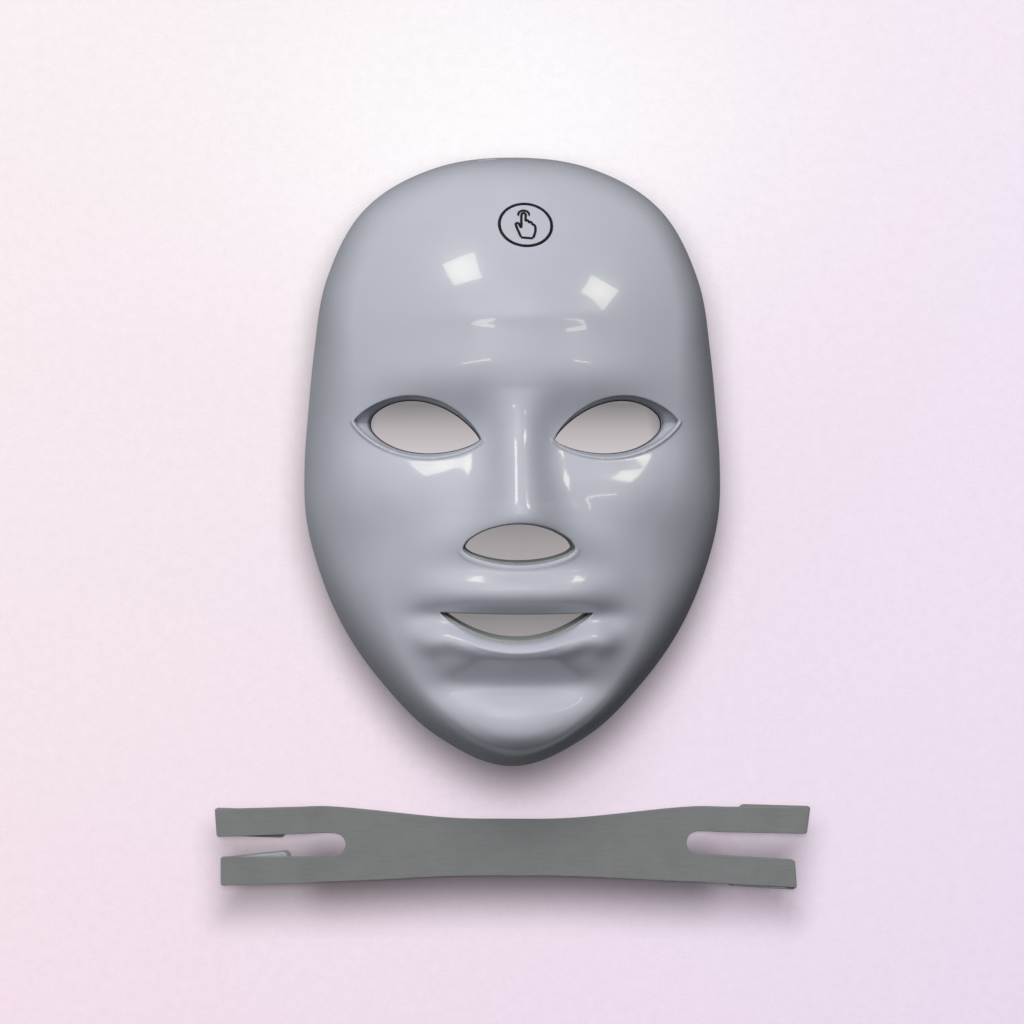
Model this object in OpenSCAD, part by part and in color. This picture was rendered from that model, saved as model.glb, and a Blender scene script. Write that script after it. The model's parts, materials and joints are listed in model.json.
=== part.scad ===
// LED face mask with its head strap, lying face up on its rim.
// Units are millimetres. +X is the wearer's left, +Y the forehead, +Z out of the face.

/* [Face shell] */
// Distance from the mask's middle to its rim every 15 degrees, chin to crown
rim_radius = [142.7, 133.5, 120.5, 111, 104, 100, 97.3, 98.8, 107, 122.5, 137.3, 142.4, 142.7]; // [80:170]
// Height of the face at its middle, above the rim
face_height = 74; // [50:110]
// Side-to-side curve of the face
cross_curve = 0.0052; // [0.002:0.0002:0.01]
// Steepness of the side walls
wall_slope = 3.1; // [1.5:0.1:6]
// Softness of the edge between walls and face
wall_blend = 20; // [6:28]
// Roundness of the side walls at the forehead and at the jaw, round when small
wall_round = [120, 34]; // [20:200]
// Fall of the jaw beside the chin
jaw_fall = 9; // [0:16]
// Height of the nose above the face
nose_height = 21; // [5:30]
// Wall thickness of the glossy shell
shell_wall = 2.2; // [1.2:0.1:4]
// Rings of facets outside the shell
shell_rings = 28; // [12:60]
// Rings of facets inside the shell
lining_rings = 18; // [10:50]
// Spokes of facets round the face
spokes = 72; // [24:4:160]

/* [Openings] */
// Inner corner of the eye opening
eye_inner = [15.5, 7]; // [0:0.1:40]
// Outer corner of the eye opening
eye_outer = [70, 16]; // [0:0.1:80]
// Arch of the eye opening above and below its chord
eye_arch = [13.7, 11.7]; // [4:0.1:20]
// Corner of the nose opening
nose_corner = [24, -38.8]; // [-60:0.1:40]
// Arch of the nose opening above and below its chord
nose_arch = [10.8, 5.7]; // [2:0.1:20]
// Corner of the mouth opening
mouth_corner = [31.3, -65.4]; // [-90:0.1:50]
// Arch of the mouth opening above and below its chord
mouth_arch = [1.2, 13.4]; // [0:0.1:20]

/* [Inner panel] */
// Distance from the outside of the shell to the panel
panel_depth = 9; // [7:14]
// Panel thickness
panel_wall = 1.6; // [1:0.1:3]
// Rings of facets in the panel
panel_rings = 16; // [10:40]
// Wall thickness of the collars round the openings
collar_wall = 1.35; // [0.8:0.05:3]
// Depth of the battery pocket behind the forehead
pocket_depth = 5; // [0:10]

/* [Rim frame] */
// Thickness of the rim frame
rim_thick = 2.4; // [1.5:0.1:5]
// Width of the rim frame
rim_width = 12; // [8:20]
// Size of each strap slot
slot_size = [5, 16]; // [4:0.5:24]
// Distance of the upper and lower strap slots above the mask's middle
slot_rows = [50, -25]; // [-80:80]

/* [Electronics] */
// Thickness of the flexible boards
flex_thick = 0.6; // [0.2:0.1:1.2]
// Distance from the outside of the shell to the flexible boards
flex_depth = 6; // [5:0.5:8]
// Size of one lamp
lamp_size = [3.2, 2.8, 0.8]; // [0.4:0.1:5]
// Battery size
battery_size = [38, 20, 3.6]; // [2:0.1:60]
// Distance of the battery above the mask's middle
battery_y = 65; // [58:66]
// Distance from the outside of the shell to the battery
battery_depth = 4.9; // [4.5:0.1:6]
// Control board size
board_size = [34, 20, 1]; // [0.6:0.1:50]
// Middle of the touch sensor
touch_at = [2, 98]; // [-40:120]
// Outer radius of the printed ring
ring_r = 11.5; // [8:0.5:16]
// Sideways place of the charging port
port_x = -12; // [-40:40]
// Height of the charging port above the table
port_z = 9.5; // [7:0.5:14]

/* [Strap] */
// Whole length of the strap with its tabs folded
strap_length = 275; // [220:400]
// Cloth thickness
strap_thick = 1.2; // [0.8:0.1:2.5]
// Distance of the strap below the mask's middle
strap_drop = 179.5; // [172:240]
// Half the width at the strap's middle
strap_half = 13.4; // [10:0.2:20]
// How far the middle bows below the tails
strap_bow = 1.6; // [0:0.1:4]
// Half the width where the tails start
fork_half = 18; // [14:0.5:26]
// Half the width of the slot between the tails
slot_half = 5.3; // [3:0.1:9]
// Shift of the slot towards +Y, on the -X and +X side
slot_shift = [-0.1, 0.8]; // [-2:0.1:2]
// Where the slot between the tails starts
fork_at = [78, 81.7]; // [60:0.1:90]
// Where the tails run free of the middle
tail_at = 97; // [92:110]
// Inner edges of the tails' ends: upper and lower on -X, then on +X
tail_inner = [3.8, -5.4, 5.2, -6.7]; // [-10:0.1:10]
// Outer edges of the tails' ends, in the same order
tail_outer = [16.9, -18.9, 17.8, -19.8]; // [-30:0.1:30]
// How much shorter each tail is, in the same order
tail_short = [0, 2.3, 0, 6]; // [0:0.1:12]
// Length of each folded tab
tab_length = 31; // [20:36]
// Shift of each tab against its tail at the fold, in the same order
fold_shift = [0, -0.8, 0, -1.7]; // [-3:0.1:3]
// Shift of each tab at its far end, in the same order
tip_shift = [-1, 2.6, 0.9, 0.3]; // [-3:0.1:3]
// Thickness of a hook patch
hook_thick = 0.8; // [0.4:0.1:1.5]

/* [Hidden] */

rim_top = rim_radius[12];
strap_end = strap_length / 2;
mask_y = (strap_drop - tail_outer[3] - fold_shift[3] - rim_top) / 2;
tail_base = strap_thick + hook_thick + 0.2;
hinge_gap = 0.15;
face_colour = [0.72, 0.75, 0.80];
screw_spots = [[50, 82], [-50, 82], [66, -30], [-66, -30], [38, -92], [-38, -92]];

// The face as a height over the rim plane.

function rim_pick(i) = rim_radius[i < 0 ? -i : i > 12 ? 24 - i : i];

function rim_r(a) =
    let (u = (asin(max(-1, min(1, sin(a)))) + 90) / 15, i = min(11, floor(u)), f = u - i,
         p = rim_pick(i - 1), q = rim_pick(i), r = rim_pick(i + 1), s = rim_pick(i + 2))
    0.5 * (2*q + (r - p)*f + (2*p - 5*q + 4*r - s)*f*f + (3*q - p - 3*r + s)*f*f*f);

function hill(x, y, cx, cy, sx, sy) = exp(-pow((x - cx) / sx, 2) - pow((y - cy) / sy, 2));
function hills(x, y, cx, cy, sx, sy) = hill(x, y, cx, cy, sx, sy) + hill(x, y, -cx, cy, sx, sy);
function ridge(x, y, cy, sy, w) = exp(-pow((y - cy) / sy, 2) - pow(x / w, 4));
function clamp(v, low, high) = max(low, min(high, v));
function soft_min(a, b, k) =
    let (h = clamp(0.5 + 0.5*(b - a)/k, 0, 1)) b + (a - b)*h - k*h*(1 - h);
function ease(a, b, v) = let (t = clamp((v - a)/(b - a), 0, 1)) t*t*(3 - 2*t);

function rim_gap(x, y) = rim_r(atan2(y, x)) - norm([x, y]);

// Plain dome: side walls blended into a shallow face.
function dome(x, y) =
    let (r = max(norm([x, y]), 0.001), down = clamp(-y/r, 0, 1), gap = rim_gap(x, y),
         side = ease(20, -50, y)*(1 - pow(down, 4)),
         round_at = wall_round[0] + (wall_round[1] - wall_round[0])*side,
         wall = (wall_slope + 1.3*down*down)*gap/(1 + max(0, gap)/round_at),
         fall = pow(max(0, y - 20)/22.9, 2.4) + pow(max(0, -20 - y)/46.8, 3.8)
              + jaw_fall*ease(22, 60, abs(x))*ease(-40, -115, y))
    soft_min(wall, face_height - cross_curve*x*x - fall, wall_blend);

function nose(x, y, tall) =
    let (t = max(0, (28 - y)/50), h = soft_min(pow(t, 1.3), 1.28*ease(-50, -18, y), 0.34),
         w = 10 + 5*pow(min(t, 1), 3) + 12*ease(-18, -44, y))
    tall * h * exp(-pow(abs(x/w), 2.2));

// Outside of the shell: brow, sockets, nose, cheeks, lips and chin on the dome.
function skin(x, y) =
    let (m = ease(5, 26, rim_gap(x, y)), lip = y + 81.5 - 9*pow(x/34, 2))
    dome(x, y) + m * (3*hills(x, y, 31, 34, 26, 10) - 9*hills(x, y, 36, 9, 25, 15)
        - 4*hills(x, y, 16, 8, 10, 17) + nose(x, y, nose_height)
        + 3.5*hills(x, y, 52, -16, 20, 16) - 3*hills(x, y, 35, -46, 9, 16)
        + 3*hill(x, y, 0, -68, 44, 24) + 5*ridge(x, y, -54, 8, 36)
        - 5*ridge(x, y, -69, 6.5, 38) + 5*exp(-pow(lip/5.5, 2) - pow(x/34, 6))
        + 3.5*hills(x, y, 35, -75, 6.5, 6) - 7*ridge(x, y, -94.5, 8, 31)
        + 6.5*hill(x, y, 0, -117, 26, 12));

// Softer face that the panel and the lamps follow, with a pocket behind the forehead.
function lining(x, y) =
    let (m = ease(5, 26, rim_gap(x, y)))
    dome(x, y) + m * (nose(0.8*x, y, 0.6*nose_height) - 9*hills(x, y, 36, 9, 25, 15)
        - 4*hills(x, y, 16, 8, 10, 17) + 2.5*hills(x, y, 52, -16, 20, 16)
        - 3*hills(x, y, 35, -46, 9, 16) + 2*hill(x, y, 0, -68, 44, 24)
        - 5*ridge(x, y, -69, 8, 38) - 6.5*ridge(x, y, -94, 9, 31)
        + 3*hill(x, y, 0, -112, 24, 13) - pocket_depth*hill(x, y, 0, 78, 46, 34));

function height(x, y, lined) = lined ? lining(x, y) : skin(x, y);

// Outward direction: of the skin itself, or of the plain dome for what lies under it.
function outward(x, y, lined) =
    let (e = 0.25,
         a = lined ? dome(x + e, y) - dome(x - e, y) : skin(x + e, y) - skin(x - e, y),
         b = lined ? dome(x, y + e) - dome(x, y - e) : skin(x, y + e) - skin(x, y - e),
         v = [-a/(2*e), -b/(2*e), 1]) v / norm(v);

// Normal of the lining over a span as wide as its facets.
function slope(x, y) =
    let (e = 4, v = [lining(x - e, y) - lining(x + e, y), lining(x, y - e) - lining(x, y + e), 2*e])
    v / norm(v);

function at_face(x, y, t, lined) =
    [x, y, rim_thick + max(0, height(x, y, lined))] - t*outward(x, y, lined);

// Solid under the face, t below its surface, down to the height base.
module under_face(t, lined, rings, base) {
    n = spokes;
    edge = [for (j = [0:n - 1]) let (a = 360*j/n, r = 0.9995*rim_r(a))
        at_face(r*cos(a), r*sin(a), t, lined)];
    pts = concat([at_face(0, 0, t, lined)],
        [for (i = [1:rings - 1], j = [0:n - 1]) let (a = 360*j/n, r = rim_r(a)*i/rings)
            at_face(r*cos(a), r*sin(a), t, lined)],
        edge, [for (p = edge) [p.x, p.y, base]], [[0, 0, base]]);
    last = 1 + (rings - 1)*n;
    faces = concat(
        [for (j = [0:n - 1]) [0, 1 + (j + 1)%n, 1 + j]],
        [for (i = [0:rings - 2], j = [0:n - 1]) let (a = 1 + i*n + j, b = 1 + i*n + (j + 1)%n)
            [a, b, b + n]],
        [for (i = [0:rings - 2], j = [0:n - 1]) let (a = 1 + i*n + j, b = 1 + i*n + (j + 1)%n)
            [a, b + n, a + n]],
        [for (j = [0:n - 1]) let (a = last + j, b = last + (j + 1)%n) [a, b, b + n]],
        [for (j = [0:n - 1]) let (a = last + j, b = last + (j + 1)%n) [a, b + n, a + n]],
        [for (j = [0:n - 1]) [last + 2*n, last + n + j, last + n + (j + 1)%n]]);
    polyhedron(points = pts, faces = faces, convexity = 10);
}

// Children stand on the face at x, y, t below its surface, with their +Z outward.
module on_face(x, y, t, lined = false) {
    m = lined ? slope(x, y) : outward(x, y, true);
    a = atan2(m.y, m.x);
    translate([x, y, rim_thick + height(x, y, lined)] - t*outward(x, y, true))
        rotate([0, 0, a]) rotate([0, acos(m.z), 0]) rotate([0, 0, -a]) children();
}

module on_mask() { translate([0, mask_y, 0]) children(); }
// A meshed piece, taken whole.
module faceted() { resize([0, 0, 0]) children(); }

// Openings.

function lens(a, b, up, dn, eu, ed, n) =
    let (d = b - a, q = [-d.y, d.x]/norm(d))
    concat([for (i = [0:n]) let (t = i/n) a + t*d + up*pow(4*t*(1 - t), eu)*q],
           [for (i = [n - 1:-1:1]) let (t = i/n) a + t*d - dn*pow(4*t*(1 - t), ed)*q]);

module eye_2d(side, grow) {
    offset(r = grow, $fn = 12) mirror([side < 0 ? 1 : 0, 0, 0])
        polygon(lens(eye_inner, eye_outer, eye_arch[0], eye_arch[1], 0.8, 0.8, 16));
}
module nose_2d(grow) {
    offset(r = grow, $fn = 12) polygon(lens([-nose_corner.x, nose_corner.y], nose_corner,
        nose_arch[0], nose_arch[1], 0.7, 0.7, 14));
}
module mouth_2d(grow) {
    offset(r = grow, $fn = 12) polygon(lens([-mouth_corner.x, mouth_corner.y], mouth_corner,
        mouth_arch[0], mouth_arch[1], 1, 0.9, 18));
}
module openings_2d(grow) {
    eye_2d(1, grow);
    eye_2d(-1, grow);
    nose_2d(grow);
    mouth_2d(grow);
}
module openings(grow) { translate([0, 0, -1]) linear_extrude(130) openings_2d(grow); }

function face_z(p) = rim_thick + skin(p.x, p.y);
function lining_z(p, t) = rim_thick + lining(p.x, p.y) - t/outward(p.x, p.y, true).z;

// Mask.

module outer_shell() {
    color(face_colour) on_mask() faceted() difference() {
        union() {
            difference() {
                under_face(0, false, shell_rings, rim_thick);
                under_face(shell_wall, false, lining_rings, -5);
            }
            intersection() {
                for (p = screw_spots) translate([p.x, p.y, 20]) cylinder(h = 80, r = 2.6, $fn = 12);
                difference() {
                    under_face(1, false, lining_rings, rim_thick);
                    under_face(panel_depth - 0.15, true, panel_rings, 0);
                }
            }
        }
        openings(0);
        for (p = screw_spots) translate([p.x, p.y, 10])
            cylinder(h = face_z(p) - 14, r = 1.1, $fn = 12);
        translate([port_x, 120, port_z]) rotate([-90, 0, 0]) linear_extrude(40)
            hull() { translate([-3, 0]) circle(1.95, $fn = 16); translate([3, 0]) circle(1.95, $fn = 16); }
    }
}

module hand_2d() {
    difference() {
        offset(r = 0.42, $fn = 8) hand_shape();
        offset(delta = -0.34) hand_shape();
    }
    difference() {
        translate([-0.8, 5.3]) circle(2.9, $fn = 24);
        translate([-0.8, 5.3]) circle(2.2, $fn = 24);
        translate([-3.2, -2.6]) square([4.8, 6.6]);
        hand_shape();
    }
}
module hand_shape() {
    polygon([[-1.7, 5.2], [-1.5, 5.9], [-0.8, 6.2], [-0.1, 5.9], [0.1, 5.2], [0.1, 1.6], [1.5, 1.2],
             [1.9, 0.8], [3.1, 0.5], [3.5, 0], [4.5, -0.5], [4.8, -1.2], [4.3, -3.6], [3, -6],
             [-2.1, -5.8], [-2.7, -3.8], [-4.5, -1.4], [-4.4, -0.3], [-3.3, -0.4], [-1.8, -1.9]]);
}

module touch_mark() {
    color([0.04, 0.04, 0.05]) on_mask() faceted() intersection() {
        translate([touch_at.x, touch_at.y, 20]) linear_extrude(60) scale([1, 0.82]) {
            difference() { circle(ring_r, $fn = 40); circle(ring_r - 0.8, $fn = 40); }
            hand_2d();
        }
        difference() {
            under_face(-0.12, false, shell_rings, rim_thick);
            under_face(0, false, shell_rings, 0);
        }
    }
}

module inner_panel() {
    color([0.62, 0.68, 0.66, 0.75]) on_mask() faceted() intersection() {
        translate([-130, -160, rim_thick]) cube([260, 320, 120]);
        difference() {
            union() {
                difference() {
                    under_face(panel_depth, true, panel_rings, -2);
                    under_face(panel_depth + panel_wall, true, panel_rings, -5);
                }
                difference() {
                    intersection() {
                        openings(-0.25);
                        under_face(1.3, false, panel_rings, -2);
                    }
                    under_face(panel_depth + panel_wall, true, panel_rings, -5);
                }
                intersection() {
                    for (p = screw_spots) translate([p.x, p.y, lining_z(p, panel_depth) - 5.6])
                        cylinder(h = 12, r = 3.4, $fn = 16);
                    under_face(panel_depth + 0.4, true, panel_rings, -5);
                }
            }
            openings(-0.25 - collar_wall);
            for (p = screw_spots) translate([p.x, p.y, lining_z(p, panel_depth) - 10])
                cylinder(h = 30, r = 1.4, $fn = 12);
            for (p = screw_spots) translate([p.x, p.y, lining_z(p, panel_depth) - 12])
                cylinder(h = 12 - 3.6, r = 2.5, $fn = 16);
        }
    }
}

function rim_points(inset) = [for (j = [0:spokes - 1]) let (a = 360*j/spokes, r = rim_r(a) - inset)
    [r*cos(a), r*sin(a)]];
// Where the outline stands at height y above the middle, roughly.
function rim_x(y) = sqrt(max(0, pow(rim_r(asin(clamp(y/100, -1, 1))), 2) - y*y));

module rim_frame() {
    color([0.16, 0.17, 0.18]) on_mask() linear_extrude(rim_thick) difference() {
        union() {
            difference() { polygon(rim_points(0)); polygon(rim_points(rim_width)); }
            for (s = [-1, 1], y = slot_rows) translate([s*(rim_x(y) - rim_width - 3), y])
                square([16, slot_size.y + 7], center = true);
        }
        for (s = [-1, 1], y = slot_rows) translate([s*(rim_x(y) - rim_width - 5), y])
            square(slot_size, center = true);
    }
}

module eye_seal(side) {
    color([0.03, 0.03, 0.035]) on_mask() faceted() intersection() {
        translate([0, 0, 5]) linear_extrude(90) difference() {
            eye_2d(side, 1.4);
            eye_2d(side, -0.25 - collar_wall - 0.9);
        }
        difference() {
            under_face(panel_depth + panel_wall, true, panel_rings, 0);
            under_face(panel_depth + panel_wall + 1.4, true, panel_rings, -5);
        }
    }
}
module eye_seal_left() { eye_seal(1); }
module eye_seal_right() { eye_seal(-1); }

// Electronics between the shell and the panel.

module forehead_2d() { translate([0, 74]) offset(r = 8, $fn = 16) square([72, 44], center = true); }
module nose_flex_2d() { translate([-6, -18]) square([12, 38]); }
module cheek_2d(side) {
    mirror([side < 0 ? 1 : 0, 0, 0])
        polygon([[30, -8], [58, -6], [61, -20], [58, -46], [48, -58], [34, -54], [30, -30]]);
}
module chin_2d() {
    polygon([[-26, -87], [26, -87], [26, -98], [16, -117], [-16, -117], [-26, -98]]);
}
module ribbons_2d() {
    translate([-2.5, 20.1]) square([5, 23.8]);
    for (s = [-1, 1]) translate([s > 0 ? 6.1 : -29.9, -16]) square([23.8, 4.5]);
    polygon([[37.5, -55.4], [41.5, -56.4], [41.5, -80], [26.1, -92], [26.1, -87.4], [37.5, -78.4]]);
}
module flex(t = 0) {
    color([0.86, 0.62, 0.22]) on_mask() faceted() intersection() {
        translate([0, 0, 10]) linear_extrude(100) children();
        difference() {
            under_face(flex_depth + t, true, panel_rings, 0);
            under_face(flex_depth + flex_thick - t, true, panel_rings, -5);
        }
    }
}
module flex_forehead() { flex() forehead_2d(); }
module flex_nose() { flex() nose_flex_2d(); }
module flex_cheek_left() { flex() cheek_2d(1); }
module flex_cheek_right() { flex() cheek_2d(-1); }
module flex_chin() { flex() chin_2d(); }
module flex_ribbons() { flex(0.1) difference() {
    ribbons_2d();
    offset(delta = 0.1) cheek_2d(1);
} }

module lamps(spots, gap = 0.4) {
    color([0.97, 0.93, 0.72]) on_mask() for (p = spots)
        on_face(p.x, p.y, flex_depth + flex_thick + gap + lamp_size.z, true)
            translate([-lamp_size.x/2, -lamp_size.y/2, 0]) cube(lamp_size);
}
module lamps_forehead() {
    lamps([for (x = [-36:12:36], y = [50:12:98]) if (abs(x) + y < 130) [x, y]]);
}
module lamps_nose() { lamps([for (y = [-12:8:12]) [0, y]]); }
module lamps_cheek_left() { lamps([for (x = [36, 45, 54], y = [-48:9:-12]) [x, y]]); }
module lamps_cheek_right() { lamps([for (x = [-36, -45, -54], y = [-48:9:-12]) [x, y]]); }
module lamps_chin() {
    lamps([for (x = [-18:9:18], y = [-112, -103]) if (abs(x) - y < 125) [x, y]], 1.2);
}

module touch_sensor() {
    color([0.85, 0.62, 0.35]) on_mask() on_face(touch_at.x, touch_at.y, 3.9) {
        cylinder(h = 0.6, r = 9.5);
        translate([0, 0, -1]) cylinder(h = 1.2, r = 1.2);
    }
}
module control_board() {
    color([0.08, 0.35, 0.20]) on_mask() on_face(0, 95, 6.2)
        translate([-board_size.x/2, -board_size.y/2, 0]) cube(board_size);
}
module board_chips() {
    color([0.07, 0.07, 0.08]) on_mask() on_face(0, 95, 6.2) {
        translate([-12, -4, -1.2]) cube([7, 7, 1.2]);
        translate([0, -3, -1.0]) cube([5, 6, 1.0]);
        translate([8, -6, -1.3]) cube([5, 4, 1.3]);
        translate([9, 2, -1.0]) cube([3, 5, 1.0]);
    }
}
module battery() {
    color([0.75, 0.77, 0.80]) on_mask() on_face(0, battery_y, battery_depth + battery_size.z)
        translate([-battery_size.x/2, -battery_size.y/2, 0]) cube(battery_size);
}
module battery_pad() {
    color([0.20, 0.20, 0.22]) on_mask() on_face(0, battery_y, battery_depth)
        translate([-10, -6, 0]) cube([20, 12, 1.2]);
}
module battery_leads() {
    color([0.75, 0.10, 0.08]) on_mask() on_face(0, 79, 6.6) for (x = [-2, 2])
        translate([x, -3, 0]) rotate([-90, 0, 0]) cylinder(h = 8.2, r = 0.45);
}
module usb_port() {
    color([0.74, 0.75, 0.77]) on_mask() translate([port_x, 133, port_z]) rotate([-90, 0, 0]) {
        difference() {
            port_slug(0, 4.3);
            translate([0, 0, 0.5]) port_slug(0.35, 5);
        }
        translate([-3.3, -0.35, 0.2]) cube([6.6, 0.7, 3.5]);
    }
}
module port_slug(inset, long) {
    linear_extrude(long) union() {
        translate([-2.85, -1.6 + inset]) square([5.7, 3.2 - 2*inset]);
        for (x = [-2.85, 2.85]) translate([x, 0]) circle(1.6 - inset, $fn = 32);
    }
}
module port_board() {
    color([0.08, 0.35, 0.20]) on_mask() translate([port_x - 6, 132.1, 6.9]) cube([12, 0.8, 6.2]);
}
module port_cable() {
    color([0.88, 0.87, 0.82]) on_mask() faceted() intersection() {
        translate([port_x - 2.5, 107.5, 5]) cube([5, 17, 80]);
        difference() {
            under_face(3.6, false, panel_rings, 0);
            under_face(4.1, false, panel_rings, -5);
        }
    }
}
module panel_screws() {
    color([0.70, 0.71, 0.73]) on_mask() for (p = screw_spots)
        translate([p.x, p.y, lining_z(p, panel_depth) - 3.6]) {
            translate([0, 0, -1.4]) difference() {
                cylinder(h = 1.3, r = 2.2);
                translate([-1.5, -0.3, -0.1]) cube([3, 0.6, 0.6]);
                translate([-0.3, -1.5, -0.1]) cube([0.6, 3, 0.6]);
            }
            translate([0, 0, -0.2]) cylinder(h = 7, r = 0.95);
        }
}

// Strap.

module on_strap() { translate([0, mask_y - strap_drop, 0]) children(); }

// Tails are numbered as in the lists above: 0 and 1 on -X, 2 and 3 on +X.
function tail_side(k) = k < 2 ? -1 : 1;
function tail_end(k) = strap_end - tail_short[k];
function slot_edge(k) = slot_shift[k < 2 ? 0 : 1] + (k % 2 == 0 ? slot_half : -slot_half);

module strap_middle_2d() {
    half = [for (x = [-tail_at:4:tail_at]) let (u = ease(15, tail_at, abs(x)))
        [x, strap_half + (fork_half - strap_half)*u, strap_bow*(1 - u)]];
    polygon(concat([for (p = half) [p.x, p.y - p.z]],
                   [for (i = [len(half) - 1:-1:0]) [half[i].x, -half[i].y - half[i].z]]));
}
module strap_2d() {
    difference() {
        strap_middle_2d();
        for (k = [0, 1]) translate([(2*k - 1)*(fork_at[k] + slot_half), slot_shift[k]]) {
            circle(slot_half, $fn = 48);
            translate([k > 0 ? 0 : -40, -slot_half]) square([40, 2*slot_half]);
        }
    }
    for (k = [0:3]) let (s = tail_side(k), outer = k % 2 == 0 ? fork_half : -fork_half,
                         x = tail_end(k) - hinge_gap)
        polygon([[s*(tail_at - 1.5), slot_edge(k)], [s*x, tail_inner[k]],
                 [s*x, tail_outer[k]], [s*(tail_at - 1.5), outer]]);
}
// Side view of the strap: flat in the middle, its tails lifted by the folded tabs.
module strap_side_2d() {
    t = strap_thick;
    b = tail_base;
    x = strap_end;
    polygon([[-x, b], [-100.5, b], [-89.5, 0], [89.5, 0], [100.5, b], [x, b],
             [x, b + t], [99.5, b + t], [88.5, t], [-88.5, t], [-99.5, b + t], [-x, b + t]]);
}
module head_strap() {
    color([0.45, 0.455, 0.46]) on_strap() intersection() {
        linear_extrude(10) strap_2d();
        translate([0, 40, 0]) rotate([90, 0, 0]) linear_extrude(80) strap_side_2d();
    }
}

// Folded tab between two distances from its fold, its edges moved in by trim.
module folded(k, near, far, trim) {
    s = tail_side(k);
    in = k % 2 == 0 ? trim : -trim;
    function shift(x) = fold_shift[k] + (tip_shift[k] - fold_shift[k])*x/tab_length;
    polygon([for (p = [[near, tail_inner[k] + in], [far, tail_inner[k] + in],
                       [far, tail_outer[k] - in], [near, tail_outer[k] - in]])
        [s*(tail_end(k) - p.x), p.y + shift(p.x)]]);
}
module tab(k) {
    color([0.42, 0.425, 0.43]) on_strap() linear_extrude(strap_thick)
        folded(k, hinge_gap, tab_length, 0);
}
module hook(k) {
    color([0.88, 0.88, 0.90]) on_strap() translate([0, 0, strap_thick]) linear_extrude(hook_thick)
        folded(k, tab_length - 28, tab_length - 1, 0.6);
}
module tab_upper_left() { tab(0); }
module tab_upper_right() { tab(2); }
module tab_lower_left() { tab(1); }
module tab_lower_right() { tab(3); }
module hook_upper_left() { hook(0); }
module hook_upper_right() { hook(2); }
module hook_lower_left() { hook(1); }
module hook_lower_right() { hook(3); }

outer_shell();
touch_mark();
inner_panel();
rim_frame();
eye_seal_left();
eye_seal_right();
flex_forehead();
flex_nose();
flex_cheek_left();
flex_cheek_right();
flex_chin();
flex_ribbons();
lamps_forehead();
lamps_nose();
lamps_cheek_left();
lamps_cheek_right();
lamps_chin();
touch_sensor();
control_board();
board_chips();
battery();
battery_pad();
battery_leads();
usb_port();
port_board();
port_cable();
panel_screws();
head_strap();
tab_upper_left();
tab_upper_right();
tab_lower_left();
tab_lower_right();
hook_upper_left();
hook_upper_right();
hook_lower_left();
hook_lower_right();
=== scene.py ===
"""LED face mask with its forked head strap, lying on a pale table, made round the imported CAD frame.

Lengths are in millimetres until a mesh is made. Mask shapes are worked out with the mask's middle
at x = y = 0 and the table at z = 0, and strap shapes with the strap's centre line at y = 0.
"""
import json
import math

import bpy
import numpy as np
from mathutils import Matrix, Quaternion, Vector
from mathutils.geometry import delaunay_2d_cdt


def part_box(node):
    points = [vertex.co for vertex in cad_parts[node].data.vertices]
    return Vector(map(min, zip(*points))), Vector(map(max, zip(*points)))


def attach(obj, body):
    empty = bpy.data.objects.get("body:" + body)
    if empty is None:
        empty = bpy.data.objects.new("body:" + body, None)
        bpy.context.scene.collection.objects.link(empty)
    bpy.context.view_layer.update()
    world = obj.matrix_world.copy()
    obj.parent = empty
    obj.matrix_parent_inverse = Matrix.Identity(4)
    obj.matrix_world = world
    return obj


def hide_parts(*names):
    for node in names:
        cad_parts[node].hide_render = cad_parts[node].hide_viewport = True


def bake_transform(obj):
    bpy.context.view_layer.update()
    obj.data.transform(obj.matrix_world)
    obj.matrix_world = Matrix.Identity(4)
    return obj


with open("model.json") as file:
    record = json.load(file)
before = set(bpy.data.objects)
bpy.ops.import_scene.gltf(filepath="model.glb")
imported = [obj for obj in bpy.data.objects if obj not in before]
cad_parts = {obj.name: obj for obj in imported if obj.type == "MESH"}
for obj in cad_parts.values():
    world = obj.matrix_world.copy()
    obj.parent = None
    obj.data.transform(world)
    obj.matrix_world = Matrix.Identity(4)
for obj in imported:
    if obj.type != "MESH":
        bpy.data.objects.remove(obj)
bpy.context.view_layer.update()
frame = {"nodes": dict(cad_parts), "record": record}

MM = 0.001

# ---------------------------------------------------------------- places taken from the frame


def box_mm(node):
    low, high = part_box(node)
    return np.array(low) / MM, np.array(high) / MM


shell_low, shell_high = box_mm("outer_shell")
MASK_AT = np.array([0.0, (shell_low[1] + shell_high[1]) / 2, 0.0])
RIM_Z = shell_low[2]
CLOTH = box_mm("tab_upper_left")[1][2]
TAIL_Z = box_mm("head_strap")[1][2] - CLOTH

# ---------------------------------------------------------------- the face, as in the CAD model

# radii of the rim from the chin up to the crown, every RIM_STEP degrees
RIM_RADIUS = np.array([142.7, 133.5, 120.5, 111, 104, 100, 97.3, 98.8, 107, 122.5, 137.3,
                       142.4, 142.7])
RIM_STEP = 15
FACE_HEIGHT, CROSS_CURVE, WALL_SLOPE, WALL_BLEND, NOSE_HEIGHT = 74, 0.0052, 3.1, 20, 21
WALL_ROUND, JAW_FALL = (120, 34), 9
CROWN_FALL, CHIN_FALL = (20, 22.9, 2.4), (20, 46.8, 3.8)     # where it starts, scale, power
FEATURES_FROM = (5, 26)      # distances from the rim over which the features come in
SOCKET, SOCKET_CORNER = (36, 9, 25, 15), (16, 8, 10, 17)
SHELL_WALL, PANEL_DEPTH, PANEL_WALL = 2.2, 9.0, 1.6
SCREWS = [(50, 82), (-50, 82), (66, -30), (-66, -30), (38, -92), (-38, -92)]
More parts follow.
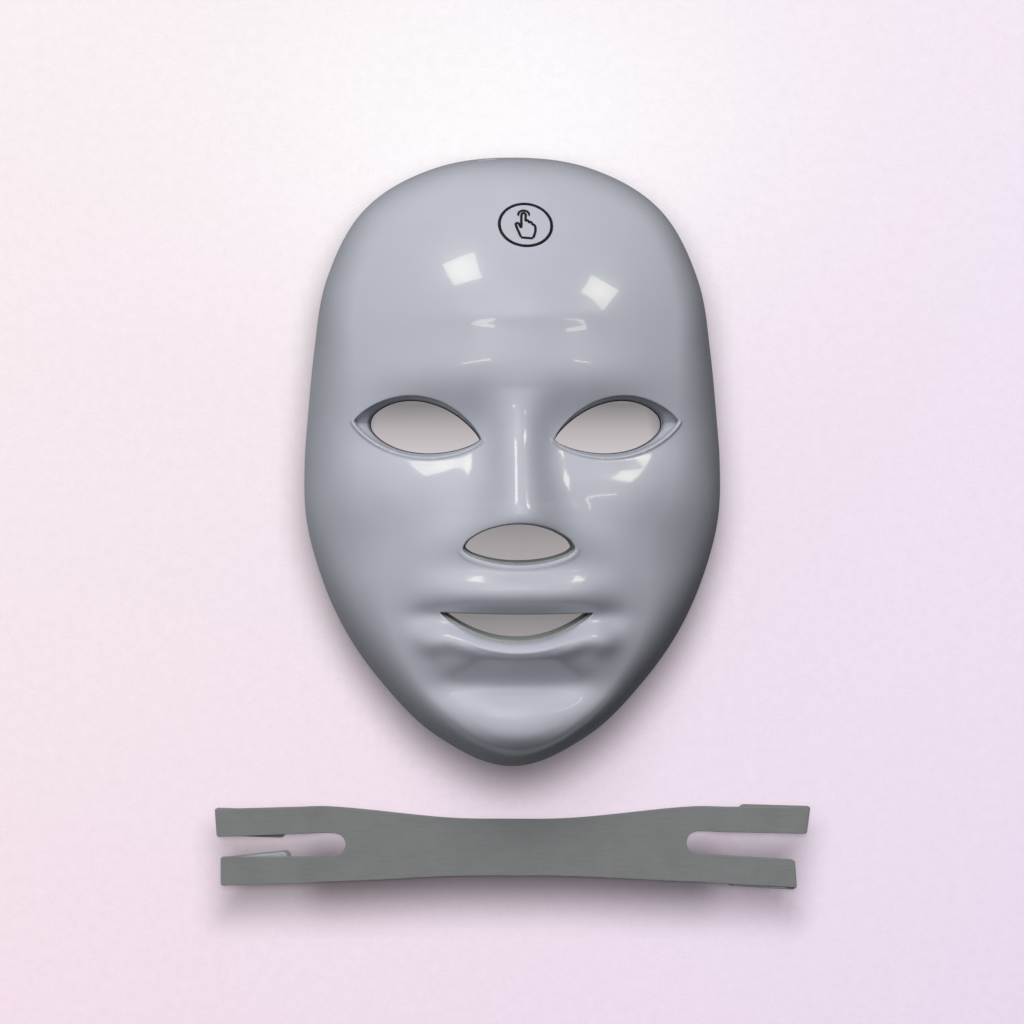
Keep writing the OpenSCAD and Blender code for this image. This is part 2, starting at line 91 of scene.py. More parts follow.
PORT_AT, PORT_HALF, PORT_R = (-12, 9.5), 3.0, 1.95
TOUCH_AT = (3.7, 99)


def between(a, b, c, d, t):
    """Smooth way from b to c as t goes from 0 to 1, with a before them and d after."""
    return 0.5 * (2 * b + (c - a) * t + (2 * a - 5 * b + 4 * c - d) * t**2
                  + (3 * b - a - 3 * c + d) * t**3)


def rim_r(angle):
    """Radius of the rim at an angle, the same on both sides of the face."""
    last = len(RIM_RADIUS) - 1
    u = (np.degrees(np.arcsin(np.clip(np.sin(np.radians(angle)), -1, 1))) + 90) / RIM_STEP
    i = np.clip(np.floor(u).astype(int), 0, last - 1)

    def pick(k):
        k = np.abs(k)
        return RIM_RADIUS[np.where(k > last, 2 * last - k, k)]

    return between(pick(i - 1), pick(i), pick(i + 1), pick(i + 2), u - i)


def hill(x, y, cx, cy, sx, sy):
    return np.exp(-(((x - cx) / sx) ** 2) - ((y - cy) / sy) ** 2)


def hills(x, y, cx, cy, sx, sy):
    return hill(x, y, cx, cy, sx, sy) + hill(x, y, -cx, cy, sx, sy)


def ridge(x, y, cy, sy, w):
    return np.exp(-(((y - cy) / sy) ** 2) - (x / w) ** 4)


def soft_min(a, b, k):
    h = np.clip(0.5 + 0.5 * (b - a) / k, 0, 1)
    return b + (a - b) * h - k * h * (1 - h)


def ease(a, b, v):
    t = np.clip((v - a) / (b - a), 0, 1)
    return t * t * (3 - 2 * t)


def rim_gap(x, y):
    return rim_r(np.degrees(np.arctan2(y, x))) - np.hypot(x, y)


def fall_off(v, start, scale, power):
    return (np.clip(v - start, 0, None) / scale) ** power


def dome(x, y):
    """The face without its features: a wall up from the rim, blended into a curved front."""
    down = np.clip(-y / np.maximum(np.hypot(x, y), 0.001), 0, 1)
    gap = rim_gap(x, y)
    round_at = WALL_ROUND[0] + (WALL_ROUND[1] - WALL_ROUND[0]) * ease(20, -50, y) * (1 - down**4)
    wall = (WALL_SLOPE + 1.3 * down**2) * gap / (1 + np.clip(gap, 0, None) / round_at)
    fall = fall_off(y, *CROWN_FALL) + fall_off(-y, *CHIN_FALL)
    fall = fall + JAW_FALL * ease(22, 60, np.abs(x)) * ease(-40, -115, y)
    return soft_min(wall, FACE_HEIGHT - CROSS_CURVE * x * x - fall, WALL_BLEND)


def nose(x, y, tall):
    t = np.clip((28 - y) / 50, 0, None)
    h = soft_min(t**1.3, 1.28 * ease(-50, -18, y), 0.34)
    w = 10 + 5 * np.minimum(t, 1) ** 3 + 12 * ease(-18, -44, y)
    return tall * h * np.exp(-np.abs(x / w) ** 2.2)


def skin(x, y):
    """Height of the outside of the shell above the rim plane."""
    lip = y + 81.5 - 9 * (x / 34) ** 2
    return dome(x, y) + ease(*FEATURES_FROM, rim_gap(x, y)) * (
        2 * hills(x, y, 31, 34, 26, 10)                             # brows
        - 9 * hills(x, y, *SOCKET) - 4 * hills(x, y, *SOCKET_CORNER)
        + nose(x, y, NOSE_HEIGHT)
        + 3.5 * hills(x, y, 52, -16, 20, 16)                        # cheekbones
        - 0.6 * hills(x, y, 35, -46, 9, 16)                         # folds beside the nose
        + 3 * hill(x, y, 0, -68, 44, 24)                            # round the mouth
        + 5.5 * ridge(x, y, -56, 7.5, 36)                           # upper lip
        - 6.5 * ridge(x, y, -69, 6, 38)                             # line between the lips
        + 5 * np.exp(-((lip / 5.5) ** 2) - (x / 34) ** 6)           # lower lip
        + 4.5 * hills(x, y, 35.5, -77.5, 7, 6)                      # beside its corners
        - 9.5 * ridge(x, y, -96.5, 7.6, 32)                         # hollow under it
        + 7.2 * hill(x, y, 0, -118.5, 26, 12)                       # chin
        + 2.5 * np.exp(-(((y - 64) / 24) ** 2) - (x / 58) ** 4)     # forehead
        + 0.5 * np.exp(-(((y - 58) / 4) ** 2) - (x / 34) ** 4)      # faint band across it
        + 2.2 * hills(x, y, 37, -40, 17, 20)                        # lower cheeks
        - 2 * hills(x, y, 38, -67, 8, 5))                           # corners of the mouth


def lining(x, y):
    """Softer height that the inner panel follows."""
    return dome(x, y) + ease(*FEATURES_FROM, rim_gap(x, y)) * (
        nose(0.8 * x, y, 0.6 * NOSE_HEIGHT) - 9 * hills(x, y, *SOCKET)
        - 4 * hills(x, y, *SOCKET_CORNER) + 2.5 * hills(x, y, 52, -16, 20, 16)
        - 3 * hills(x, y, 35, -46, 9, 16) + 2 * hill(x, y, 0, -68, 44, 24)
        - 5 * ridge(x, y, -69, 8, 38) - 6.5 * ridge(x, y, -94, 9, 31)
        + 3 * hill(x, y, 0, -112, 24, 13) - 5 * hill(x, y, 0, 78, 46, 34))


def gradient(field, x, y, e=0.25):
    across, along = field(x + e, y) - field(x - e, y), field(x, y + e) - field(x, y - e)
    return np.stack([across, along], -1) / (2 * e)


def normal_of(slope):
    n = np.concatenate([-slope, np.ones(slope.shape[:-1] + (1,))], -1)
    return n / np.linalg.norm(n, axis=-1, keepdims=True)


def under(p, depth, lined):
    """Height at p of the surface that lies depth below the skin, or below the lining.

    The point above, which p is square to, is found by repeated steps of 0.6 of the way.
    """
    field, guide = (lining, dome) if lined else (skin, skin)
    q = p.copy()
    for _ in range(14):
        q = 0.4 * q + 0.6 * (p + depth * normal_of(gradient(guide, q[:, 0], q[:, 1]))[:, :2])
    n = normal_of(gradient(guide, q[:, 0], q[:, 1]))
    return RIM_Z + field(q[:, 0], q[:, 1]) - depth * n[:, 2]


# ---------------------------------------------------------------- outlines

CROWDING = 0.86
CHUNK = 2000         # points worked on at once
HEX_ROW = 0.866      # distance of the rows of a grid of triangles, over its step
WELD = 1e-5          # points closer than this are one


def bow(t, tall, power):
    """Arch over t from 0 to 1, as high as tall. The two powers say how blunt each end is."""
    p, q = power
    top = p / (p + q)
    return (tall * (t / top) ** p * ((1 - t) / (1 - top)) ** q)[:, None]


def lens(a, b, up, down, power_up, power_down, n=72):
    """Closed outline with two ends, a and b, where points crowd, and an arch above and below."""
    a, b = np.array(a, float), np.array(b, float)
    s = np.arange(n) / n
    t = s - CROWDING * np.sin(2 * np.pi * s) / (2 * np.pi)
    side = np.array([-(b - a)[1], (b - a)[0]]) / np.linalg.norm(b - a)
    low = a + t[:, None] * (b - a) - bow(t, down, power_down) * side
    top = b + t[:, None] * (a - b) + bow(1 - t, up, power_up) * side
    return rounded(np.concatenate([low, top]), 2)


def rounded(loop, passes):
    for _ in range(passes):
        loop = (np.roll(loop, 1, 0) + 2 * loop + np.roll(loop, -1, 0)) / 4
    return loop


def mirrored(loop):
    return (loop * [-1, 1])[::-1]


def loop_normals(loop):
    """Outward directions of a loop that runs anticlockwise."""
    t = np.roll(loop, -1, 0) - np.roll(loop, 1, 0)
    t /= np.maximum(np.linalg.norm(t, axis=1, keepdims=True), 1e-9)
    return np.stack([t[:, 1], -t[:, 0]], 1)


def nearest_on(loop, p, closed=True):
    """Distance from each point to the loop, and the direction away from it."""
    a = loop if closed else loop[:-1]
    d = (np.roll(loop, -1, 0) if closed else loop[1:]) - a
    best = np.full(len(p), np.inf)
    away = np.zeros((len(p), 2))
    for start in range(0, len(p), CHUNK):
        part = p[start:start + CHUNK]
        v = part[:, None] - a[None]
        t = np.clip((v * d).sum(-1) / np.maximum((d * d).sum(-1), 1e-12), 0, 1)
        v = v - t[..., None] * d
        r = np.linalg.norm(v, axis=-1)
        k = r.argmin(1)
        rows = np.arange(len(part))
        best[start:start + CHUNK] = r[rows, k]
        away[start:start + CHUNK] = v[rows, k] / np.maximum(r[rows, k], 1e-9)[:, None]
    return best, away


def inside_loop(loop, p):
    a, b = loop, np.roll(loop, -1, 0)
    result = np.zeros(len(p), bool)
    for start in range(0, len(p), CHUNK):
        x, y = p[start:start + CHUNK, 0:1], p[start:start + CHUNK, 1:2]
        cross = (a[:, 1] > y) != (b[:, 1] > y)
        where = a[:, 0] + (y - a[:, 1]) / (b[:, 1] - a[:, 1] + 1e-15) * (b[:, 0] - a[:, 0])
        result[start:start + CHUNK] = (cross & (x < where)).sum(1) % 2 == 1
    return result


def ring_round(loop, distance, spacing=1.4):
    """Points at one distance outside a convex loop, none further apart than spacing."""
    ring = loop + distance * loop_normals(loop)
    gap = np.linalg.norm(np.roll(ring, -1, 0) - ring, axis=1)
    extra = [ring]
    for i in np.nonzero(gap > spacing)[0]:
        n = int(math.ceil(gap[i] / spacing))
        t = (np.arange(1, n) / n)[:, None]
        extra.append(ring[i] + t * (ring[(i + 1) % len(ring)] - ring[i]))
    ring = np.concatenate(extra)
    r, away = nearest_on(loop, ring)
    return ring + (distance - r)[:, None] * away


def hex_grid(low, high, step):
    rows = []
    for j, y in enumerate(np.arange(low[1], high[1], step * HEX_ROW)):
        x = np.arange(low[0] + (j % 2) * step / 2, high[0], step)
        rows.append(np.stack([x, np.full(len(x), y)], 1))
    return np.concatenate(rows)


def filled(loops, points):
    """Triangles between an outer loop and its holes. Returns points, triangles, loop indices."""
    flat = [Vector(p) for loop in loops for p in loop] + [Vector(p) for p in points]
    edges, spans, start = [], [], 0
    for loop in loops:
        n = len(loop)
        edges += [(start + i, start + (i + 1) % n) for i in range(n)]
        spans.append(range(start, start + n))
        start += n
    out, _, faces, origin, _, _ = delaunay_2d_cdt(flat, edges, [], 0, WELD, True)
    place = {}
    for i, sources in enumerate(origin):
        for s in sources:
            place[s] = i
    out = np.array([tuple(v) for v in out])
    tri = np.array([f for f in faces if len(f) == 3])
    middle = out[tri].mean(1)
    keep = inside_loop(loops[0], middle)
    for hole in loops[1:]:
        keep &= ~inside_loop(hole, middle)
    return out, tri[keep], [[place[i] for i in span] for span in spans]


# ---------------------------------------------------------------- mesh building


def placed(name, data):
    """New object with this data, in the scene."""
    obj = bpy.data.objects.new(name, data)
    bpy.context.scene.collection.objects.link(obj)
    return obj


def picked(ids, ring):
    return [ids[i] for i in ring]


class Build:
    """Collects points and faces of one piece. Corners may carry a normal of their own."""

    def __init__(self):
        self.points, self.faces, self.normals, self.sharp, self.uv = [], [], [], [], []

    def add(self, points):
        start = len(self.points)
        self.points += [tuple(p) for p in points]
        return list(range(start, len(self.points)))

    def face(self, ids, normals=None):
        self.faces.append(tuple(ids))
        self.normals += [(0, 0, 0)] * len(ids) if normals is None else [tuple(n) for n in normals]

    def strip(self, a, b, closed=True):
        """Quads between two rows of the same length."""
        n = len(a)
        for i in range(n if closed else n - 1):
            j = (i + 1) % n
            self.face((a[i], a[j], b[j], b[i]))

    def strips(self, rows, closed=True):
        """Strips from each row to the next, and from the last to the first."""
        for a, b in zip(rows, rows[1:] + rows[:1]):
            self.strip(a, b, closed)

    def bar(self, rows):
        """Solid whose section runs through rows, with both ends closed."""
        for a, b in zip(rows, rows[1:]):
            self.strip(a, b)
        self.face(rows[0][::-1])
        self.face(rows[-1])

    def fill(self, ids, triangles, flip=False):
        for t in triangles:
            self.face([ids[i] for i in (t[::-1] if flip else t)])

    def crease(self, *rings):
        for ring in rings:
            self.sharp += [frozenset(pair) for pair in zip(ring, ring[1:] + ring[:1])]

    def piece(self, name, at, material, smooth=True, uv=None):
        mesh = bpy.data.meshes.new(name)
        points = (np.array(self.points) + at) * MM
        mesh.from_pydata(points.tolist(), [], self.faces)
        mesh.validate()
        mesh.materials.append(material)
        if uv is not None:
            layer = mesh.uv_layers.new(name="weave")
            index = np.array([l.vertex_index for l in mesh.loops])
            layer.data.foreach_set("uv", np.array(uv)[index].astype(np.float32).ravel())
        if smooth:
            mesh.shade_smooth()
        marked = set(self.sharp)
        for e in mesh.edges:
            if frozenset(e.vertices) in marked:
                e.use_edge_sharp = True
        if any(n != (0, 0, 0) for n in self.normals) and len(self.normals) == len(mesh.loops):
            mesh.normals_split_custom_set(self.normals)
        return placed(name, mesh)


# ---------------------------------------------------------------- materials

ONE_WAVE = 0.314     # scale at which a wave texture repeats once in a unit


class Finish:
    """A Principled material with helpers for its texture nodes. Sizes are in millimetres."""

    def __init__(self, name, uv=None, **values):
        self.material = bpy.data.materials.new(name)
        self.material.use_nodes = True
        self.tree = self.material.node_tree
        self.shader = self.tree.nodes["Principled BSDF"]
        for key, value in values.items():
            self.shader.inputs[key.replace("_", " ")].default_value = value
        if uv:
            self.coordinates = self.node("ShaderNodeUVMap", uv_map=uv).outputs["UV"]
        else:
            self.coordinates = self.node("ShaderNodeTexCoord").outputs["Object"]
        self.unit = 1 if uv else 1 / MM
        self.height = None

    def node(self, kind, **values):
        node = self.tree.nodes.new(kind)
        for key, value in values.items():
            setattr(node, key, value)
        return node

    def link(self, a, b):
        self.tree.links.new(a, b)

    def feed(self, value, socket):
        """Set a socket to a number, or link an output to it."""
        if isinstance(value, (int, float)):
            socket.default_value = value
        else:
            self.link(value, socket)

    def mapped(self, scale):
        """The piece's coordinates, scaled."""
        mapping = self.node("ShaderNodeMapping")
        mapping.inputs["Scale"].default_value = scale
        self.link(self.coordinates, mapping.inputs["Vector"])
        return mapping.outputs["Vector"]

    def noise(self, size, detail=3, rough=0.5, stretch=(1, 1, 1)):
        mapped = self.mapped([self.unit / (size * s) for s in stretch])
        noise = self.node("ShaderNodeTexNoise")
        noise.inputs["Scale"].default_value = 1
        noise.inputs["Detail"].default_value = detail
        noise.inputs["Roughness"].default_value = rough
        self.link(mapped, noise.inputs["Vector"])
        return noise.outputs["Fac"]

    def threads(self, pitch, along):
        """Rounded threads side by side across x (0) or y (1)."""
        mapped = self.mapped([self.unit / pitch] * 3)
        wave = self.node("ShaderNodeTexWave", bands_direction="XY"[along], wave_profile="SIN")
        wave.inputs["Scale"].default_value = ONE_WAVE
        self.link(mapped, wave.inputs["Vector"])
        return wave.outputs["Fac"]

    def calc(self, kind, a, b):
        node = self.node("ShaderNodeMath", operation=kind)
        self.feed(a, node.inputs[0])
        self.feed(b, node.inputs[1])
        return node.outputs[0]

    def blend(self, *parts):
        """Sum of texture values, each given with its weight."""
        total = None
        for value, weight in parts:
            part = self.calc("MULTIPLY", value, weight)
            total = part if total is None else self.calc("ADD", total, part)
        return total

    def scaled(self, colour, factor):
        node = self.node("ShaderNodeVectorMath", operation="SCALE")
        self.link(colour, node.inputs[0])
        self.feed(factor, node.inputs["Scale"])
        return node.outputs[0]

    def spread(self, value, low, high, from_low=0.3, from_high=0.7):
        node = self.node("ShaderNodeMapRange")
        node.inputs["From Min"].default_value = from_low
        node.inputs["From Max"].default_value = from_high
        node.inputs["To Min"].default_value = low
        node.inputs["To Max"].default_value = high
        self.link(value, node.inputs["Value"])
        return node.outputs["Result"]

    def tint(self, value, dark, light, low=0.3, high=0.7):
        """Base colour that runs between two colours with a texture value."""
        ramp = self.node("ShaderNodeValToRGB")
        for element, place, colour in zip(ramp.color_ramp.elements, (low, high), (dark, light)):
            element.position = place
            element.color = (*colour, 1)
        self.link(value, ramp.inputs["Fac"])
        self.link(ramp.outputs["Color"], self.shader.inputs["Base Color"])

    def shine(self, value, low, high):
        self.link(self.spread(value, low, high), self.shader.inputs["Roughness"])

    def bump(self, value, depth, strength=1.0):
        node = self.node("ShaderNodeBump")
        node.inputs["Strength"].default_value = strength
        node.inputs["Distance"].default_value = depth * MM
        self.link(value, node.inputs["Height"])
        if self.height is not None:
            self.link(self.height, node.inputs["Normal"])
        self.height = node.outputs["Normal"]
        self.link(self.height, self.shader.inputs["Normal"])


def gloss_shell():
    f = Finish("shell_gloss", IOR=1.48, Coat_Weight=0.55, Coat_Roughness=0.03)
    f.tint(f.noise(38, 4, 0.6), (0.425, 0.437, 0.497), (0.455, 0.468, 0.525))
    f.shine(f.noise(9, 5, 0.6), 0.20, 0.27)
    f.bump(f.noise(2.4, 2), 0.012, 0.25)
    return f.material


def print_black():
    f = Finish("mark_print", IOR=1.5, Specular_IOR_Level=0.25, Coat_Weight=0.1, Coat_Roughness=0.08)
    f.tint(f.noise(1.5, 3), (0.003, 0.003, 0.005), (0.009, 0.009, 0.012))
    f.shine(f.noise(0.8, 3), 0.25, 0.4)
    return f.material


def panel_translucent():
    f = Finish("panel_translucent", IOR=1.42, Transmission_Weight=0.35)
    f.tint(f.noise(22, 4), (0.35, 0.38, 0.36), (0.43, 0.46, 0.43))
    f.shine(f.noise(6, 4), 0.34, 0.5)
    f.bump(f.noise(0.5, 3), 0.02, 0.5)
    return f.material


def moulded(name, dark, light, low=0.38, high=0.55, grain=0.5, depth=0.03, **values):
    """Moulded plastic or rubber: mottled colour, fine spark grain."""
    f = Finish(name, **values)
    f.tint(f.noise(7, 5, 0.6), dark, light)
    f.shine(f.noise(3, 4), low, high)
    f.bump(f.noise(grain, 3), depth, 0.5)
    return f.material


def metal(name, dark, light, low=0.2, high=0.42, stretch=(1, 14, 1)):
    """Plated metal with fine brushing."""
    f = Finish(name, Metallic=1.0)
    f.tint(f.noise(4, 5), dark, light)
    f.shine(f.noise(0.5, 4, 0.6, stretch), low, high)
    f.bump(f.noise(0.3, 3, 0.6, stretch), 0.008, 0.4)
    return f.material


def circuit(name, dark, light):
    """Solder mask over copper tracks."""
    f = Finish(name, IOR=1.5, Coat_Weight=0.3)
    tracks = f.calc("GREATER_THAN", f.calc("MULTIPLY", f.threads(1.9, 0), f.threads(2.7, 1)), 0.42)
    f.tint(f.blend((tracks, 0.6), (f.noise(3, 4), 0.4)), dark, light)
    f.shine(f.noise(2, 3), 0.28, 0.45)
    f.bump(tracks, 0.03, 0.4)
    return f.material


def woven(name, dark, light, pitch=0.42, sheen=0.35):
    """Fine elastic weave: warp and weft threads, slubs and soft blotches."""
    f = Finish(name, uv="weave", Sheen_Weight=sheen, Sheen_Roughness=0.5, Specular_IOR_Level=0.18)
    warp, weft = f.threads(pitch, 1), f.threads(pitch * 1.3, 0)
    weave = f.calc("MULTIPLY", f.calc("ADD", warp, 0.25), f.calc("ADD", weft, 0.55))
    slub = f.noise(2.2, 4, 0.6, (5, 0.5, 1))
    blotch = f.noise(16, 4, 0.6)
    f.tint(f.blend((weave, 0.22), (slub, 0.45), (blotch, 0.4)), dark, light, 0.35, 0.75)
    f.shine(blotch, 0.82, 0.95)
    f.bump(weave, 0.09, 0.75)
    f.bump(slub, 0.05, 0.4)
    return f.material


M_SHELL = gloss_shell()
M_PRINT = print_black()
M_PANEL = panel_translucent()
M_STRAP = woven("strap_cloth", (0.160, 0.166, 0.166), (0.216, 0.222, 0.223))
M_HOOK = woven("hook_white", (0.30, 0.31, 0.35), (0.40, 0.41, 0.46), 0.9, 0.2)
M_FRAME = moulded("frame_dark", (0.018, 0.020, 0.022), (0.034, 0.036, 0.040))
M_SEAL = moulded("seal_black", (0.006, 0.006, 0.008), (0.014, 0.014, 0.016), 0.5, 0.7)

CAD_FINISHES = {
    "flex_film": moulded("flex_film", (0.50, 0.23, 0.03), (0.66, 0.34, 0.06), 0.2, 0.35, 1.2, 0.02,
                         Coat_Weight=0.4),
    "lamp_white": moulded("lamp_white", (0.75, 0.68, 0.42), (0.90, 0.85, 0.62), 0.12, 0.25,
                          0.8, 0.01, Coat_Weight=0.5),
    "sensor_copper": metal("sensor_copper", (0.55, 0.24, 0.10), (0.72, 0.36, 0.18)),
    "board_green": circuit("board_green", (0.004, 0.055, 0.022), (0.012, 0.13, 0.05)),
    "chip_black": moulded("chip_black", (0.008, 0.008, 0.009), (0.02, 0.02, 0.022), 0.4, 0.6,
                          0.25, 0.02),
    "battery_foil": metal("battery_foil", (0.50, 0.51, 0.53), (0.66, 0.67, 0.69), 0.25, 0.5,
                          (1, 1, 1)),
    "foam_dark": moulded("foam_dark", (0.018, 0.018, 0.02), (0.045, 0.045, 0.05), 0.85, 0.95,
                         0.4, 0.15),
    "lead_red": moulded("lead_red", (0.32, 0.012, 0.01), (0.5, 0.03, 0.02), 0.3, 0.45),
    "port_steel": metal("port_steel", (0.42, 0.43, 0.45), (0.56, 0.57, 0.59)),
    "cable_white": moulded("cable_white", (0.60, 0.59, 0.54), (0.74, 0.73, 0.68), 0.35, 0.5),
    "screw_steel": metal("screw_steel", (0.40, 0.41, 0.43), (0.58, 0.59, 0.61), 0.2, 0.4,
                         (1, 1, 1)),
    "frame_dark": M_FRAME,
    "seal_black": M_SEAL,
}

for part in frame["record"]["subparts"]:
    finish = CAD_FINISHES.get(part["material_slot"])
    slots = frame["nodes"][part["node"]].data.materials
    if finish is not None:
        for i in range(len(slots)):
            slots[i] = finish
        if len(slots) == 0:
            slots.append(finish)

BEVELS = {"rim_frame": 0.5, "panel_screws": 0.12, "battery": 0.5, "usb_port": 0.12,
          "control_board": 0.1, "board_chips": 0.12}
for name, width in BEVELS.items():
    bevel = frame["nodes"][name].modifiers.new("edge", "BEVEL")
    bevel.width = width * MM
    bevel.segments = 3
    bevel.limit_method = "ANGLE"
    bevel.angle_limit = math.radians(40)
    bevel.harden_normals = True

# ---------------------------------------------------------------- outer shell


def blunt(loop, tip, reach, passes):
    """Loop with the pointed end at tip rounded off."""
    weight = ease(reach, reach * 0.4, np.linalg.norm(loop - tip, axis=1))[:, None] / 2
    for _ in range(passes):
        loop = loop + weight * ((np.roll(loop, 1, 0) + np.roll(loop, -1, 0)) / 2 - loop)
    return loop


POINTED = (0.8, 0.8)
EYE = lens((15.5, 7), (70, 16), 13.7, 10.8, POINTED, POINTED)
EYE_TIP = (64.2, 15.6)
EYE_BACK = blunt(lens((15.6, 7), EYE_TIP, 12.2, 10.1, (0.8, 0.62), (0.8, 0.62)), EYE_TIP, 4, 60)
NOSE_ENDS = (-24, -38.8), (24, -38.8)
NOSE = lens(*NOSE_ENDS, 10.8, 6.4, (0.7, 0.7), (0.7, 0.7))
MOUTH_ENDS = (-33.2, -65.2), (32, -65.4)
MOUTH = lens(*MOUTH_ENDS, -0.4, 12.3, (1, 1), (0.9, 0.9))
for nose_end, mouth_end in zip(NOSE_ENDS, MOUTH_ENDS):
    NOSE = blunt(NOSE, nose_end, 5, 120)
    MOUTH = blunt(MOUTH, mouth_end, 4, 60)
# Front and back outlines, depth of the wall, raised lip below the opening (height, distance and
# width), edge radius above and below, and how far the panel's collar stands towards the crown. For
# the mouth also the distances from the middle between which lip and lower edge fade.
EYE_SHAPE = dict(deep=6.5, lip=(0.95, 1.1, 0.7), edge=0.5, roll=1.1, collar=0)
OPENINGS = [
    dict(front=EYE, back=EYE_BACK, **EYE_SHAPE),
    dict(front=mirrored(EYE), back=mirrored(EYE_BACK), **EYE_SHAPE),
    dict(front=NOSE, back=None, deep=2.2, lip=(0.3, 1.5, 0.8), edge=0.45, roll=0.9, collar=0.5),
    dict(front=MOUTH, back=None, deep=2.2, lip=(0.45, 3.4, 0.9), edge=0.7, roll=2.9, collar=0.6,
         fade=(27, 15)),
]
LIP_REACH = 7            # distance from an opening within which it shapes the shell
RINGS_ROUND = [0.1, 0.25, 0.45, 0.7, 1.0, 1.4, 1.9, 2.5, 3.2, 4.1]
RIM_INSETS = [0.25, 0.6, 1.1, 1.8, 2.7, 3.8, 5.1, 6.6, 8.3, 10.2, 12.3]
FACE_AREA = (-105, -145), (105, 145)
GRID, INNER_GRID = 2.0, 3.4
SPOKES = 300
CLEAR = 0.8              # least gap between a grid and the loops in it
HOLE_MARGIN = 2.3        # how far the openings in the shell's inside stand back
PORT_POINTS = 40


def rim_loop(inset=0.0, spokes=SPOKES):
    a = np.arange(spokes) * 360 / spokes
    r = rim_r(a) - inset
    return np.stack([r * np.cos(np.radians(a)), r * np.sin(np.radians(a))], 1)


def port_loop(surface):
    """Where the port's slot, seen from the front, crosses a surface of the crown's wall."""
    a = np.radians(np.arange(PORT_POINTS) * 360 / PORT_POINTS)
    x = PORT_AT[0] + PORT_R * np.cos(a) + np.where(np.cos(a) >= 0, PORT_HALF, -PORT_HALF)
    z = PORT_AT[1] + PORT_R * np.sin(a)
    low, high = np.full(PORT_POINTS, 125.0), rim_r(np.degrees(np.arctan2(142.0, x))) + 0.5
    for _ in range(30):
        y = (low + high) / 2
        above = surface(np.stack([x, y], 1)) > z
        low, high = np.where(above, y, low), np.where(above, high, y)
    loop = np.stack([x, (low + high) / 2], 1)
    return loop[::-1]


def shell_surface(p, towards=None):
    """Height and slope of the shell's outside at flat points, lips and rolled edges included."""
    z = RIM_Z + skin(p[:, 0], p[:, 1])
    slope = gradient(skin, p[:, 0], p[:, 1])
    for o in OPENINGS:
        near = np.nonzero(np.hypot(*(p - o["front"].mean(0)).T) < 55)[0]
        d, away = nearest_on(o["front"], p[near])
        close = d < LIP_REACH
        near, d, away = near[close], d[close], away[close]
        if towards is not None:
            away[d < 1e-4] = -towards[near[d < 1e-4]]
        below = ease(0.25, -0.35, away[:, 1])
        if "fade" in o:
            below = below * ease(*o["fade"], np.abs(p[near, 0]))
        tall, at, wide = o["lip"]
        bell = tall * below * np.exp(-(((d - at) / wide) ** 2))
        edge = o["edge"] + (o["roll"] - o["edge"]) * below
        u = np.clip(edge - d, 0, edge * 0.9999)
        root = np.sqrt(edge**2 - u**2)
        z[near] += bell - (edge - root)
        slope[near] += (np.minimum(u / root, 8) - 2 * (d - at) / wide**2 * bell)[:, None] * away
    return z, slope


def shell_points():
    """Flat points of the outside, dense where it bends."""
    rings = [ring_round(o["front"], d) for o in OPENINGS for d in RINGS_ROUND]
    rims = [rim_loop(d) for d in RIM_INSETS]
    grid = hex_grid(*FACE_AREA, GRID)
    grid = grid[rim_gap(grid[:, 0], grid[:, 1]) > RIM_INSETS[-1] + CLEAR]
    for o in OPENINGS:
        grid = grid[nearest_on(o["front"], grid)[0] > RINGS_ROUND[-1] + CLEAR]
    points = np.concatenate(rings + rims + [grid])
    for o in OPENINGS:
        points = points[~inside_loop(o["front"], points)]
    return points


